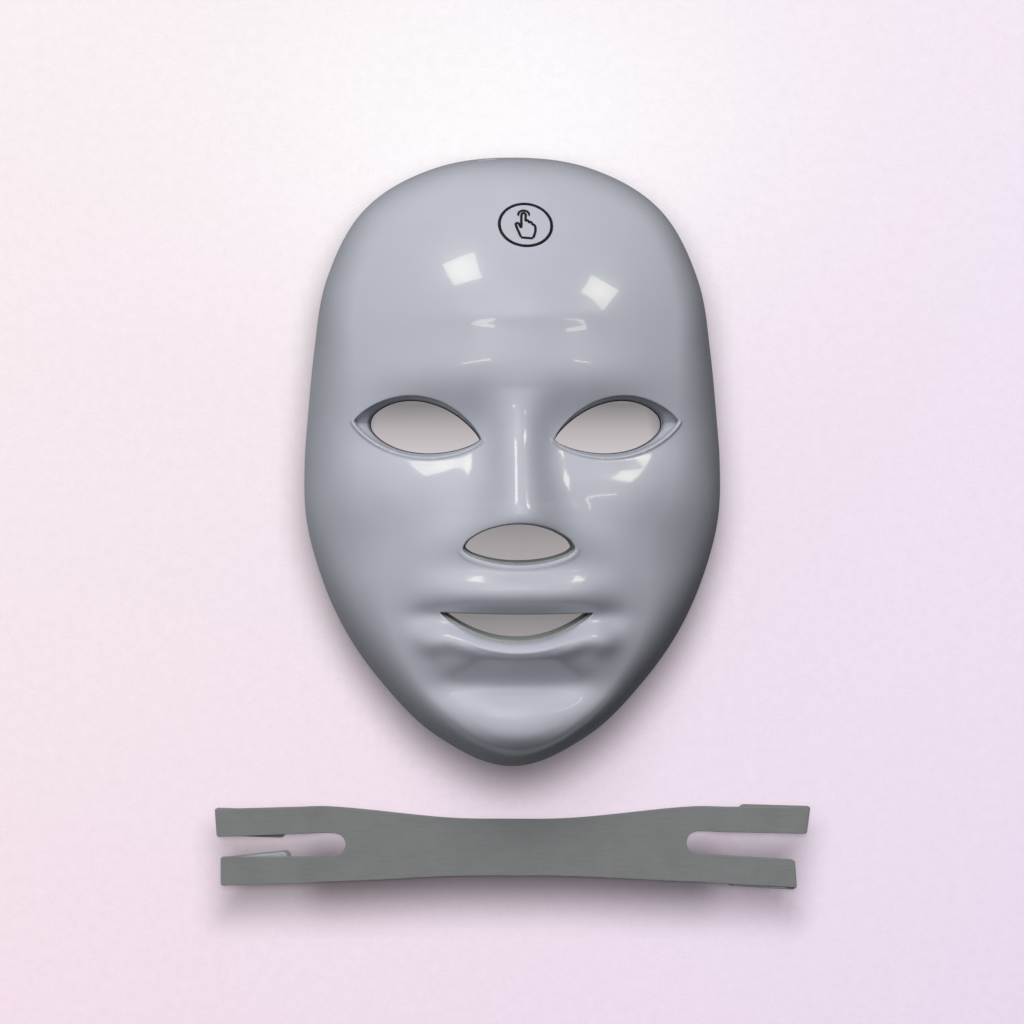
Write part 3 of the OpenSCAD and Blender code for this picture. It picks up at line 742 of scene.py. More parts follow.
def make_shell():
    build = Build()
    port = port_loop(lambda p: RIM_Z + skin(p[:, 0], p[:, 1]))
    points = shell_points()
    points = points[~inside_loop(port, points) & (nearest_on(port, points)[0] > 0.12)]
    loops = [rim_loop()] + [o["front"] for o in OPENINGS] + [port]
    flat, triangles, rings = filled(loops, points)
    towards = np.zeros((len(flat), 2))
    for ring, o in zip(rings[1:5], OPENINGS):
        towards[ring] = -loop_normals(o["front"])
    z, slope = shell_surface(flat, towards)
    z = np.maximum(z, RIM_Z)
    z[rings[0]] = RIM_Z
    normals = normal_of(slope)
    outside = build.add(np.column_stack([flat, z]))
    for t in triangles:
        build.face(picked(outside, t), picked(normals, t))

    # inside surface, with the same loops a wall's thickness away
    rim_in = inner_rim(SHELL_WALL, False, SPOKES)
    holes = [o["front"] + HOLE_MARGIN * loop_normals(o["front"]) for o in OPENINGS]
    port_in = port_loop(lambda p: under(p, SHELL_WALL, False))
    grid = hex_grid(*FACE_AREA, INNER_GRID)
    grid = np.concatenate([grid[rim_gap(grid[:, 0], grid[:, 1]) > 12]]
                          + [rim_loop(d) for d in (3.2, 4.6, 6.6, 9.2)])
    for hole in holes + [port_in]:
        grid = grid[~inside_loop(hole, grid) & (nearest_on(hole, grid)[0] > CLEAR)]
    flat_in, triangles_in, rings_in = filled([rim_in] + holes + [port_in], grid)
    z_in = np.maximum(under(flat_in, SHELL_WALL, False), RIM_Z)
    z_in[rings_in[0]] = RIM_Z
    inside = build.add(np.column_stack([flat_in, z_in]))
    build.fill(inside, triangles_in, flip=True)

    # rim, port and openings join the two surfaces
    rim, *fronts, port_front = [picked(outside, ring) for ring in rings]
    rim_back, *holes_back, port_back = [picked(inside, ring) for ring in rings_in]
    build.strip(rim_back, rim)
    build.strip(port_front, port_back)
    build.crease(rim, rim_back, port_front)
    for o, front, hole, ring in zip(OPENINGS, fronts, holes_back, rings[1:]):
        top = z[ring]
        inward = -loop_normals(o["front"])
        back = o["back"] if o["back"] is not None else o["front"] + 0.3 * inward
        row = front
        for s in (0.08, 0.2, 0.36, 0.42, 0.48, 0.54, 0.62, 0.8, 0.92, 1.0):
            # an eye's wall goes straight down, steps inwards half-way, and goes on down
            pull = s if o["back"] is None else np.interp(s, (0, 0.36, 0.56, 1), (0, 0.08, 0.86, 1))
            where = o["front"] + pull * (back - o["front"])
            new = build.add(np.column_stack([where, top - o["deep"] * s]))
            build.strip(row, new)
            row = new
        behind = build.add(np.column_stack([back - 1.2 * inward, top - o["deep"]]))
        build.strip(row, behind)
        build.strip(behind, hole)
        build.crease(front, row, behind)
        o["seat"] = np.column_stack([back, top - o["deep"]])
    return build


def inner_rim(depth, lined, spokes):
    """Loop where an inner surface meets the rim plane, found by halving."""
    a = np.radians(np.arange(spokes) * 360 / spokes)
    r = rim_r(np.degrees(a))
    low, high = np.full(spokes, depth * 0.8), np.full(spokes, depth * 1.6 + 2)
    for _ in range(22):
        d = (low + high) / 2
        p = np.stack([(r - d) * np.cos(a), (r - d) * np.sin(a)], 1)
        above = under(p, depth, lined) > RIM_Z
        high, low = np.where(above, d, high), np.where(above, low, d)
    return np.stack([(r - high) * np.cos(a), (r - high) * np.sin(a)], 1)


shell = make_shell().piece("outer_shell_skin", MASK_AT, M_SHELL)
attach(shell, "mask")
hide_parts("outer_shell")

# ---------------------------------------------------------------- eye seals

SEAL_GAP = 0.02


def make_seal(o):
    """Soft ring behind an eye opening: a rounded lip that shows as a thin dark line."""
    build = Build()
    seat = o["seat"]
    out = loop_normals(seat[:, :2])
    profile = [(1.1, 0.0), (0.0, 0.0), (-0.28, -0.25), (-0.36, -0.8), (-0.28, -1.5), (0.1, -2.4),
               (1.6, -3.0), (2.2, -2.2), (2.0, -0.4)]
    rows = []
    for across, down in profile:
        height = seat[:, 2] + down - SEAL_GAP
        rows.append(build.add(np.column_stack([seat[:, :2] + across * out, height])))
    build.strips(rows)
    return build


for o, name in zip(OPENINGS, ("eye_seal_left", "eye_seal_right")):
    seal = make_seal(o).piece(name + "_lip", MASK_AT, M_SEAL)
    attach(seal, "mask")
    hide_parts(name)

# ---------------------------------------------------------------- inner panel

PANEL_AREA, PANEL_GRID, PANEL_SPOKES = ((-100, -140), (100, 140)), 3.0, 180
COLLAR_WALL = 1.1
# distances from the opening of the panel's back, its front and its collar, and the collar's depth
# below the opening's seat, for an eye and for another opening
PANEL_EYE, PANEL_OTHER = (0.5, 1.9, 0.5, 3.1), (-1.1, -0.25, -0.4, 0.1)
# radius and depth, below the panel's front, of a screw boss's section
BOSS = [(3.4, 1.0), (3.4, 5.2), (3.1, 5.6), (2.8, 5.6), (2.5, 5.2), (2.5, 3.6), (1.4, 3.6),
        (1.4, 1.0)]


def make_panel():
    """Translucent panel behind the shell, with a collar at each opening, a boss at each screw."""
    build = Build()
    backs, fronts, tops = [], [], []
    for o in OPENINGS:
        eye = o["back"] is not None
        base = (o["back"] if eye else o["front"]) + [0, o["collar"]]
        n = loop_normals(base)
        back_gap, front_gap, collar_gap, drop = PANEL_EYE if eye else PANEL_OTHER
        backs.append(base + back_gap * n)
        fronts.append(base + front_gap * n)
        tops.append((base + collar_gap * n, o["seat"][:, 2] - drop))
    sides = []
    for depth, holes in ((PANEL_DEPTH, fronts), (PANEL_DEPTH + PANEL_WALL, backs)):
        outline = inner_rim(depth, True, PANEL_SPOKES)
        grid = hex_grid(*PANEL_AREA, PANEL_GRID)
        radial = [rim_loop(d, PANEL_SPOKES) for d in (12.5, 14.2, 16.5, 19)]
        grid = np.concatenate([grid[rim_gap(grid[:, 0], grid[:, 1]) > 21]] + radial)
        keep = inside_loop(outline, grid) & (nearest_on(outline, grid)[0] > CLEAR)
        for hole in holes:
            keep &= ~inside_loop(hole, grid) & (nearest_on(hole, grid)[0] > CLEAR + 0.1)
        flat, triangles, rings = filled([outline] + holes, grid[keep])
        z = np.maximum(under(flat, depth, True), RIM_Z)
        z[rings[0]] = RIM_Z
        ids = build.add(np.column_stack([flat, z]))
        build.fill(ids, triangles, flip=holes is backs)
        sides.append([picked(ids, ring) for ring in rings])
    (rim, *highs), (rim_back, *lows) = sides
    build.strip(rim_back, rim)
    build.crease(rim_back)
    for low, high, (top, top_z) in zip(lows, highs, tops):
        start = np.array(build.points)[low]
        row = low
        for s in (0.3, 0.6, 0.85):
            new = build.add(np.column_stack([start[:, :2] + s * (top - start[:, :2]),
                                             start[:, 2] + s * (top_z - start[:, 2])]))
            build.strip(new, row)
            row = new
        inner = build.add(np.column_stack([top, top_z]))
        outer = build.add(np.column_stack([top + COLLAR_WALL * loop_normals(top), top_z]))
        build.strip(inner, row)
        build.strip(outer, inner)
        build.strip(high, outer)
        build.crease(low, inner, outer, high)
    for x, y in SCREWS:
        front = float(under(np.array([[x, y]], float), PANEL_DEPTH, True)[0])
        turned(build, x, y, [(r, front - down) for r, down in BOSS])
    return build


def turned(build, x, y, profile, n=40):
    """Ring turned from a closed profile of radius and height about an upright axis."""
    a = np.arange(n) * 2 * np.pi / n
    rows = [build.add(np.column_stack([x + r * np.cos(a), y + r * np.sin(a), np.full(n, z)]))
            for r, z in profile]
    build.strips(rows[::-1])
    build.crease(*rows)


panel = make_panel().piece("inner_panel_skin", MASK_AT, M_PANEL)
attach(panel, "mask")
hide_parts("inner_panel")

# ---------------------------------------------------------------- touch mark

# section of a printed line: place across it in widths, and height above the skin
INK = [(0.5, -0.08), (0.5, 0.05), (0.42, 0.08), (0, 0.09), (-0.42, 0.08), (-0.5, 0.05),
       (-0.5, -0.08)]
RING_RADII, RING_TILT, RING_WIDTH = (11.2, 10.4), -7, 1.3
HAND_STRETCH, HAND_WIDTH, ARC_WIDTH = [1, 1.13], 1.12, 1.1
FINGER = [(-1.9, -1.3), (-1.75, 2.0), (-1.62, 4.1), (-1.3, 4.85), (-0.72, 5.1), (-0.1, 4.8),
          (0.2, 4.0), (0.05, 1.75)]
KNUCKLES = [(0.8, 1.85), (1.3, 1.45), (1.5, 0.95), (2.2, 1.15), (2.7, 0.6), (2.95, 0.1),
            (3.6, -0.2), (4.1, -0.9)]
PALM = [(4.1, -2.6), (3.7, -4.2), (2.95, -5.8), (2.6, -5.95), (-1.8, -5.65), (-2.15, -5.4),
        (-3.1, -3.1), (-4.15, -0.3), (-4.0, 0.45), (-3.4, 0.6), (-2.8, 0.2)]


def curve_through(points, closed, steps=6):
    """Smooth path through points."""
    p = np.array(points, float)
    n = len(p)
    out = []
    for i in range(n if closed else n - 1):
        near = [i - 1, i, i + 1, i + 2]
        a, b, c, d = (p[k % n if closed else min(max(k, 0), n - 1)] for k in near)
        out += [between(a, b, c, d, t) for t in np.arange(steps) / steps]
    if not closed:
        out.append(p[-1])
    return np.array(out)


def stroke(build, path, width, closed):
    """Flat printed line laid on the skin. An open one has rounded ends."""
    t = np.roll(path, -1, 0) - np.roll(path, 1, 0)
    if not closed:
        t[0], t[-1] = path[1] - path[0], path[-1] - path[-2]
    t /= np.linalg.norm(t, axis=1, keepdims=True)
    side = np.stack([-t[:, 1], t[:, 0]], 1)
    w = np.full(len(path), width)
    if not closed:
        s = np.linspace(0, 1, len(path))
        w = width * np.sqrt(np.clip(np.minimum(s, 1 - s) * 7, 0.02, 1))
    rows = []
    for offset, lift in INK:
        q = path + offset * w[:, None] * side + TOUCH_AT
        z, slope = shell_surface(q)
        point = np.column_stack([q, z]) + lift * normal_of(slope)
        rows.append(build.add(point))
    build.strips(rows, closed)
    if not closed:
        build.face([r[0] for r in rows])
        build.face([r[-1] for r in reversed(rows)])


def make_mark():
    """Ring with a pointing hand in it, and an arc over the fingertip."""
    build = Build()
    a = np.radians(np.arange(0, 360, 2.5))
    tilt = np.radians(RING_TILT)
    ring = np.stack([RING_RADII[0] * np.cos(a), RING_RADII[1] * np.sin(a)], 1)
    ring = ring @ np.array([[np.cos(tilt), np.sin(tilt)], [-np.sin(tilt), np.cos(tilt)]])
    stroke(build, ring, RING_WIDTH, True)
    stroke(build, curve_through(FINGER + KNUCKLES + PALM, True) * HAND_STRETCH, HAND_WIDTH, True)
    b = np.radians(np.arange(-18, 199, 6))
    arc = np.stack([-0.68 + 2.35 * np.cos(b), 4.75 + 2.25 * np.sin(b)], 1)
    stroke(build, arc, ARC_WIDTH, False)
    return build


mark = make_mark().piece("touch_mark_print", MASK_AT, M_PRINT)
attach(mark, "mask")
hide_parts("touch_mark")

# ---------------------------------------------------------------- strap

STRAP_END, SLOT_HALF, SLOT_SHIFT, FORK_AT, TAIL_AT = 137.5, 5.3, (-0.1, 0.8), (78, 81.7), 97.0
STRAP_HALF, STRAP_BOW, FORK_HALF = 13.4, 1.6, 18.0
HINGE_GAP, TAB_LENGTH, CORNER, FOLD_ARC = 0.15, 31.0, 2.6, math.pi * 1.1
STRAP_AREA, STRAP_GRID, EDGE_STEP = ((-142, -24), (142, 24)), 2.0, 1.6
# Tails in order: upper and lower on -X, then upper and lower on +X. Their two edges at the end, how
# much shorter they are, how far the folded part stands aside at the crease and at its tip, how much
# the end leans off square, and the hook patch's distances from the inner and outer edge.
TAILS = [
    dict(name="upper_left", side=-1, up=1, inner=3.8, outer=16.9, short=0.0, fold=0.0, tip=-1.0,
         lean=-0.07, inset=(2.0, 0.8)),
    dict(name="lower_left", side=-1, up=-1, inner=-5.4, outer=-18.9, short=2.3, fold=-0.8, tip=2.6,
         lean=0.0, inset=(0.5, 0.8)),
    dict(name="upper_right", side=1, up=1, inner=5.2, outer=17.8, short=0.0, fold=0.0, tip=0.9,
         lean=0.14, inset=(0.8, 2.0)),
    dict(name="lower_right", side=1, up=-1, inner=-6.7, outer=-19.8, short=6.0, fold=-1.7, tip=0.3,
         lean=-0.07, inset=(0.8, 0.4)),
]
LOWEST = min(t["outer"] + t["fold"] for t in TAILS)
STRAP_AT = np.array([0.0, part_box("tab_lower_right")[0].y / MM - LOWEST, 0.0])
EDGE_R = 0.45
EDGE_STEPS = EDGE_R * (1 - np.cos(np.radians(np.arange(5) * 22.5)))
HINGE_Z = (CLOTH + TAIL_Z) / 2
TURN_ROWS = 17           # rows of points round a crease
TAPE = (0.01, 0.3)       # heights of the hook tape's two faces above the tab
HOOK_PITCH = 1.15
HOOK = [(0.16, 0.25), (0.13, 0.52), (0.30, 0.60), (0.22, 0.78)]      # radius, height


def end_of(tail):
    return STRAP_END - tail["short"]


def tail_side_y(tail, x, outer):
    """Edge of a tail at x, curving into the middle of the strap."""
    k = 0 if tail["side"] < 0 else 1
    start = tail["up"] * FORK_HALF if outer else SLOT_SHIFT[k] + tail["up"] * SLOT_HALF
    end = tail["outer"] if outer else tail["inner"]
    t = (np.abs(x) - TAIL_AT) / (end_of(tail) - TAIL_AT)
    y = start + np.clip(t, 0, None) * (end - start)
    if outer:
        u = ease(15, TAIL_AT, np.abs(x))
        middle = tail["up"] * (STRAP_HALF + (FORK_HALF - STRAP_HALF) * u) - STRAP_BOW * (1 - u)
        y = np.where(t < 0, middle, y)
    return y


def strap_outline():
    """Outline of the strap between its four folds, anticlockwise.

    Returns the closed loop, its four long sides, and which of its edges run across a tail's end.
    """
    upper_left, lower_left, upper_right, lower_right = TAILS
    ends = [end_of(t) - HINGE_GAP for t in TAILS]

    def edge(tail, a, b, outer, skip=0):
        xs = np.linspace(a, b, max(2, int(abs(b - a) / EDGE_STEP)))[skip:]
        return np.stack([xs, tail_side_y(tail, xs, outer)], 1)

    def slot(k):
        side = 2 * k - 1
        a = np.radians(np.linspace(90, 270, 22)[1:-1])
        x = side * (FORK_AT[k] + SLOT_HALF) + side * SLOT_HALF * np.cos(a)
        return np.stack([x, SLOT_SHIFT[k] + SLOT_HALF * np.sin(a)], 1)

    inner_at = [at + SLOT_HALF for at in FORK_AT]
    top = [edge(upper_right, ends[2], 0, True), edge(upper_left, 0, -ends[0], True, 1)]
    left = [edge(upper_left, -ends[0], -inner_at[0], False), slot(0),
            edge(lower_left, -inner_at[0], -ends[1], False)]
    bottom = [edge(lower_left, -ends[1], 0, True), edge(lower_right, 0, ends[3], True, 1)]
    right = [edge(lower_right, ends[3], inner_at[1], False), slot(1)[::-1],
             edge(upper_right, inner_at[1], ends[2], False)]
    parts = [smoothed(np.concatenate(p)) for p in (top, left, bottom, right)]
    loop, across = [], []
    for side, after in zip(parts, parts[1:] + parts[:1]):
        width = np.linalg.norm(after[0] - side[-1])
        t = np.concatenate([EDGE_STEPS[1:], np.linspace(EDGE_R, width - EDGE_R, 7)[1:-1],
                            width - EDGE_STEPS[:0:-1]])
        start = sum(len(p) for p in loop) + len(side) - 1
        across += range(start, start + len(t) + 1)
        loop += [side, side[-1] + (t / width)[:, None] * (after[0] - side[-1])]
    return np.concatenate(loop), parts, across


def smoothed(path, passes=10):
    path = path.copy()
    for _ in range(passes):
        path[1:-1] = (path[:-2] + 2 * path[1:-1] + path[2:]) / 4
    return path


def leaned(p):
    """Strap points, with the ends of the tails leaning a little off square."""
    p = np.array(p, float)
    x, y = p[:, 0], p[:, 1]
    lean, middle = np.zeros(len(p)), np.zeros(len(p))
    for t in TAILS:
        here = (x * t["side"] > 0) & (y * t["up"] > 0)
        lean[here], middle[here] = t["lean"], (t["inner"] + t["outer"]) / 2
    p[:, 0] = x + lean * (y - middle) * ease(105, 137, np.abs(x))
    return p


def strap_base(x, y):
    """Height of the underside: flat in the middle, carried by the folded tabs at the tails."""
    lift = TAIL_Z * ease(86, 101, np.abs(x))
    sway = 0.10 * (1 + np.sin(x / 13.0 + y / 21.0)) + 0.07 * (1 + np.sin(x / 7.1 - y / 9.0 + 1.3))
    quarters = [(x < 0) & (y > 0), x < 0, y > 0]
    short = np.select(quarters, [t["short"] for t in TAILS[:3]], TAILS[3]["short"])
    free = ease(STRAP_END, STRAP_END - 10, np.abs(x) + short)
    crease = 0.35 * np.exp(-(((x - 121.5 - 0.12 * y) / 1.6) ** 2)) * ease(2, 6, y) * ease(17, 9, y)
    dents = sum(0.22 * np.exp(-(((x - at + 0.1 * y) / wide) ** 2))
                for at, wide in ((118, 1.8), (124, 2.0)))
    return lift + sway * free - crease - np.where(y < 0, dents, 0)


def make_strap():
    build = Build()
    outline, sides, across = strap_outline()
    insets = []
    for side in sides:
        n = loop_normals(np.concatenate([side, side[::-1]]))[:len(side)]
        n[0], n[-1] = n[1], n[-2]
        for d in (0.12, 0.28, 0.46, 0.9):
            insets.append((side - d * n)[1:-1])
    grid = hex_grid(*STRAP_AREA, STRAP_GRID)
    away = np.min([nearest_on(s, grid, False)[0] for s in sides], axis=0)
    points = np.concatenate(insets + [grid[away > 1.4]])
    points = points[inside_loop(outline, points)]
    points = points[nearest_on(outline, points)[0] > 0.08]
    flat, triangles, rings = filled([outline], points)
    d = np.min([nearest_on(s, flat, False)[0] for s in sides], axis=0)
    u = np.clip(EDGE_R - d, 0, EDGE_R)
    roll = EDGE_R - np.sqrt(EDGE_R**2 - u**2)
    base = strap_base(flat[:, 0], flat[:, 1])
    top = build.add(np.column_stack([flat, base + CLOTH - roll]))
    low = build.add(np.column_stack([flat, np.maximum(base + roll, 0.0)]))
    for t in triangles:
        build.face(picked(top, t))
        build.face(picked(low, t[::-1]))
    ring_top, ring_low = picked(top, rings[0]), picked(low, rings[0])
    build.strip(ring_low, ring_top)
    for i in across:
        for ring in (ring_top, ring_low):
            build.sharp.append(frozenset((ring[i], ring[(i + 1) % len(ring)])))
    build.points = leaned(build.points).tolist()
    uv = np.concatenate([flat, flat])
    a, b, c = (flat[triangles[:, k]] for k in range(3))
    area = 0.5 * np.abs(np.cross(b - a, c - a)).sum()
    return build, uv, area


def corner_trim(moved, end):
    """How far a rounded corner comes in at a distance along a tab."""
    return CORNER - math.sqrt(max(0.0, CORNER**2 - max(0.0, moved - end + CORNER) ** 2))


def tab_shift(tail, moved):
    """How far a folded end stands aside at a distance along it."""
    return tail["fold"] + (tail["tip"] - tail["fold"]) * moved / TAB_LENGTH


def fold_path(tail):
    """Centre line of a fold in the x-z plane, and the distance along the tab at each of its points.

    It runs round the crease and back under the tail.
    """
    end = end_of(tail)
    r = TAIL_Z + CLOTH / 2 - HINGE_Z
    a = np.radians(np.linspace(90, -90, TURN_ROWS))
    turn = np.stack([end + r * np.cos(a), HINGE_Z + r * np.sin(a)], 1)
    last = TAB_LENGTH - CORNER + CORNER * np.sin(np.radians(np.arange(1, 9) * 11.25))
    run = np.concatenate([np.linspace(0, TAB_LENGTH - CORNER, 24)[1:], last])
    back = np.stack([end - run, np.full(len(run), CLOTH / 2)], 1)
    start = np.array([[end - HINGE_GAP, HINGE_Z + r]])
    path = np.concatenate([start, turn, back])
    travel = np.concatenate([np.zeros(len(turn) + 1), run])
    return path, travel


def make_fold(tail):
    """Tail end folded back under itself, as a strip with rounded edges."""
    build = Build()
    path, travel = fold_path(tail)
    tangent = np.gradient(path, axis=0)
    tangent /= np.linalg.norm(tangent, axis=1, keepdims=True)
    normal = np.stack([-tangent[:, 1], tangent[:, 0]], 1)
    length = np.concatenate([[0], np.cumsum(np.linalg.norm(np.diff(path, axis=0), axis=1))])
    half = CLOTH / 2
    bend = np.radians(np.linspace(0, 90, 5))
    edge = [(EDGE_R * (1 - math.cos(b)), half - EDGE_R * (1 - math.sin(b))) for b in bend]
    rows, uv = [], []
    for i, (p, n, s, moved) in enumerate(zip(path, normal, length, travel)):
        shift = tab_shift(tail, moved) * min(1.0, s / FOLD_ARC)
        low, high = sorted((tail["inner"] + shift, tail["outer"] + shift))
        trim = corner_trim(moved, TAB_LENGTH)
        if 0 < i <= TURN_ROWS:
            angle = 90 - 180 * (i - 1) / (TURN_ROWS - 1)
            trim = 0.45 * math.cos(math.radians(angle)) ** 3
        low, high = low + trim, high - trim
        across = np.concatenate([[low + e for e, _ in edge],
                                 np.linspace(low + EDGE_R, high - EDGE_R, 7)[1:-1],
                                 [high - e for e, _ in reversed(edge)]])
        thick = np.concatenate([[t for _, t in edge], np.full(5, half),
                                [t for _, t in reversed(edge)]])
        ring = [(*(p + n * t), y) for y, t in zip(across, thick)]
        ring += [(*(p - n * t), y) for y, t in zip(across[::-1], thick[::-1])]
        rows.append(build.add([(tail["side"] * q[0], q[2], max(q[1], 0.0)) for q in ring]))
        uv += [(tail["side"] * (end_of(tail) + s), y) for _, _, y in ring]
    build.bar(rows if tail["side"] > 0 else rows[::-1])
    build.crease(rows[0], rows[-1])
    build.points = leaned(build.points).tolist()
    return build, uv


def make_hooks(tail):
    """Hook patch on a tab: a thin tape with rows of small hooks."""
    build = Build()
    near, far = TAB_LENGTH - 27.5, TAB_LENGTH - 1.4

    def place(moved):
        """Where the patch is at a distance along the tab: x, and its two sides in order."""
        shift = tab_shift(tail, moved)
        trim = corner_trim(moved, far)
        inner = tail["inner"] + shift + tail["up"] * (tail["inset"][0] + trim)
        outer = tail["outer"] + shift - tail["up"] * (tail["inset"][1] + trim)
        return tail["side"] * (end_of(tail) - moved), *sorted((inner, outer))

    rows = []
    last = far - CORNER + CORNER * np.sin(np.radians(np.arange(1, 7) * 15))
    for moved in np.concatenate([np.linspace(near, far - CORNER, 16), last]):
        x, low, high = place(moved)
        ys = np.linspace(low, high, 8)
        rows.append(build.add([(x, y, CLOTH + TAPE[0]) for y in ys]
                              + [(x, y, CLOTH + TAPE[1]) for y in ys[::-1]]))
    build.bar(rows if tail["side"] < 0 else rows[::-1])
    ring = np.radians(np.arange(6) * 60)
    for i, moved in enumerate(np.arange(near + 0.8, far - 0.6, HOOK_PITCH)):
        x, low, high = place(moved)
        for y in np.arange(low + 0.5 + (i % 2) * HOOK_PITCH / 2, high - 0.4, HOOK_PITCH):
            build.bar([build.add([(x + r * math.cos(c), y + r * math.sin(c), CLOTH + z)
                                  for c in ring]) for r, z in HOOK])
    build.points = leaned(build.points).tolist()
    return build, [(p[0], p[1]) for p in build.points]


strap_build, strap_uv, strap_area = make_strap()
strap = strap_build.piece("strap_cloth", STRAP_AT, M_STRAP, uv=strap_uv)
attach(strap, "strap")
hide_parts("head_strap")
on_strap = []
for tail in TAILS:
    build, uv = make_fold(tail)
    fold = build.piece("fold_" + tail["name"], STRAP_AT, M_STRAP, uv=uv)
    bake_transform(fold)
    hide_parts("tab_" + tail["name"])
    build, uv = make_hooks(tail)
    hooks = build.piece("hooks_" + tail["name"], STRAP_AT, M_HOOK, uv=uv, smooth=False)
    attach(hooks, "fold_" + tail["name"])
    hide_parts("hook_" + tail["name"])
    on_strap += [fold, hooks]

# ---------------------------------------------------------------- floor, lights and camera

FLOOR_FAR, FLOOR_STEP = 3000, 5.0
# the paper's glow is painted light, which the rendered shadows leave alone
GLOW_PART = 0.56         # share of the paper's colour that it gives off by itself
# brightness of the painted light and shade on the paper seen through the openings, by y on the mask,
# darkest under each opening's upper edge
UNDER_MASK = [(-85, 0.37), (-76, 0.29), (-69, 0.22), (-60, 0.29), (-49, 0.43), (-38, 0.36),
              (-28, 0.28), (-10, 0.29), (3, 0.62), (15, 0.48), (27, 0.24), (34, 0.29)]
UNDER_TINT = (1, 0.925, 0.955)
EGG_SCALE, EGG_MIDDLE = (10.3, 7.05), 7      # where that light ends: an ellipse under the mask
CAMERA_SIDE, CAMERA_UP, CAMERA_DOWN = -0.022, 0.6, -0.0235
EYE_AT = (CAMERA_SIDE, MASK_AT[1] * MM + CAMERA_DOWN, CAMERA_UP)
LENS, SENSOR = 44.8, 36
# lights that the forehead mirrors: where, size in metres and turn in degrees
CEILING_PANELS = ((-22.9, 77.2, 0.35, 0.37, 85), (34.2, 69, 0.40, 0.34, 14),
                  (-14.7, 53.5, 0.07, 0.36, 45), (24, 52.3, 0.06, 0.32, -25))
PANEL_REACH, PANEL_POWER, PANEL_COLOUR = 1.5, 21, (1, 0.985, 0.76)


def shadow_beside(loop, p, drop, inside, reach):
    """Soft shadow of an outline that lies a little further from the light, from 0 to 1."""
    loop = loop - [0, drop]
    r, _ = nearest_on(loop, p)
    r[inside_loop(loop, p)] *= -1
    return ease(reach, -inside, r)


def floor_colours(p):
    """Pale paper: pink on the left, lavender on the right, lighter towards the far side, and nearly
    white behind the crown, where a pool of light is painted.
    """
    u = np.clip(p[:, 0] / 480 + 0.5, 0, 1)[:, None]
    v = np.clip((p[:, 1] - MASK_AT[1] + 264) / 480, 0, 1)[:, None]
    near = (1 - u) * (0.885, 0.735, 0.825) + u * (0.805, 0.70, 0.84)
    far = (1 - u) * (0.935, 0.865, 0.88) + u * (0.89, 0.80, 0.90)
    # painted pool of light behind the crown
    behind = np.exp(-((p[:, 0] / 130) ** 2) - ((p[:, 1] - MASK_AT[1] - 160) / 85) ** 2)[:, None]
    return (1 - v) * near + v * far + behind * (0.06, 0.115, 0.07)


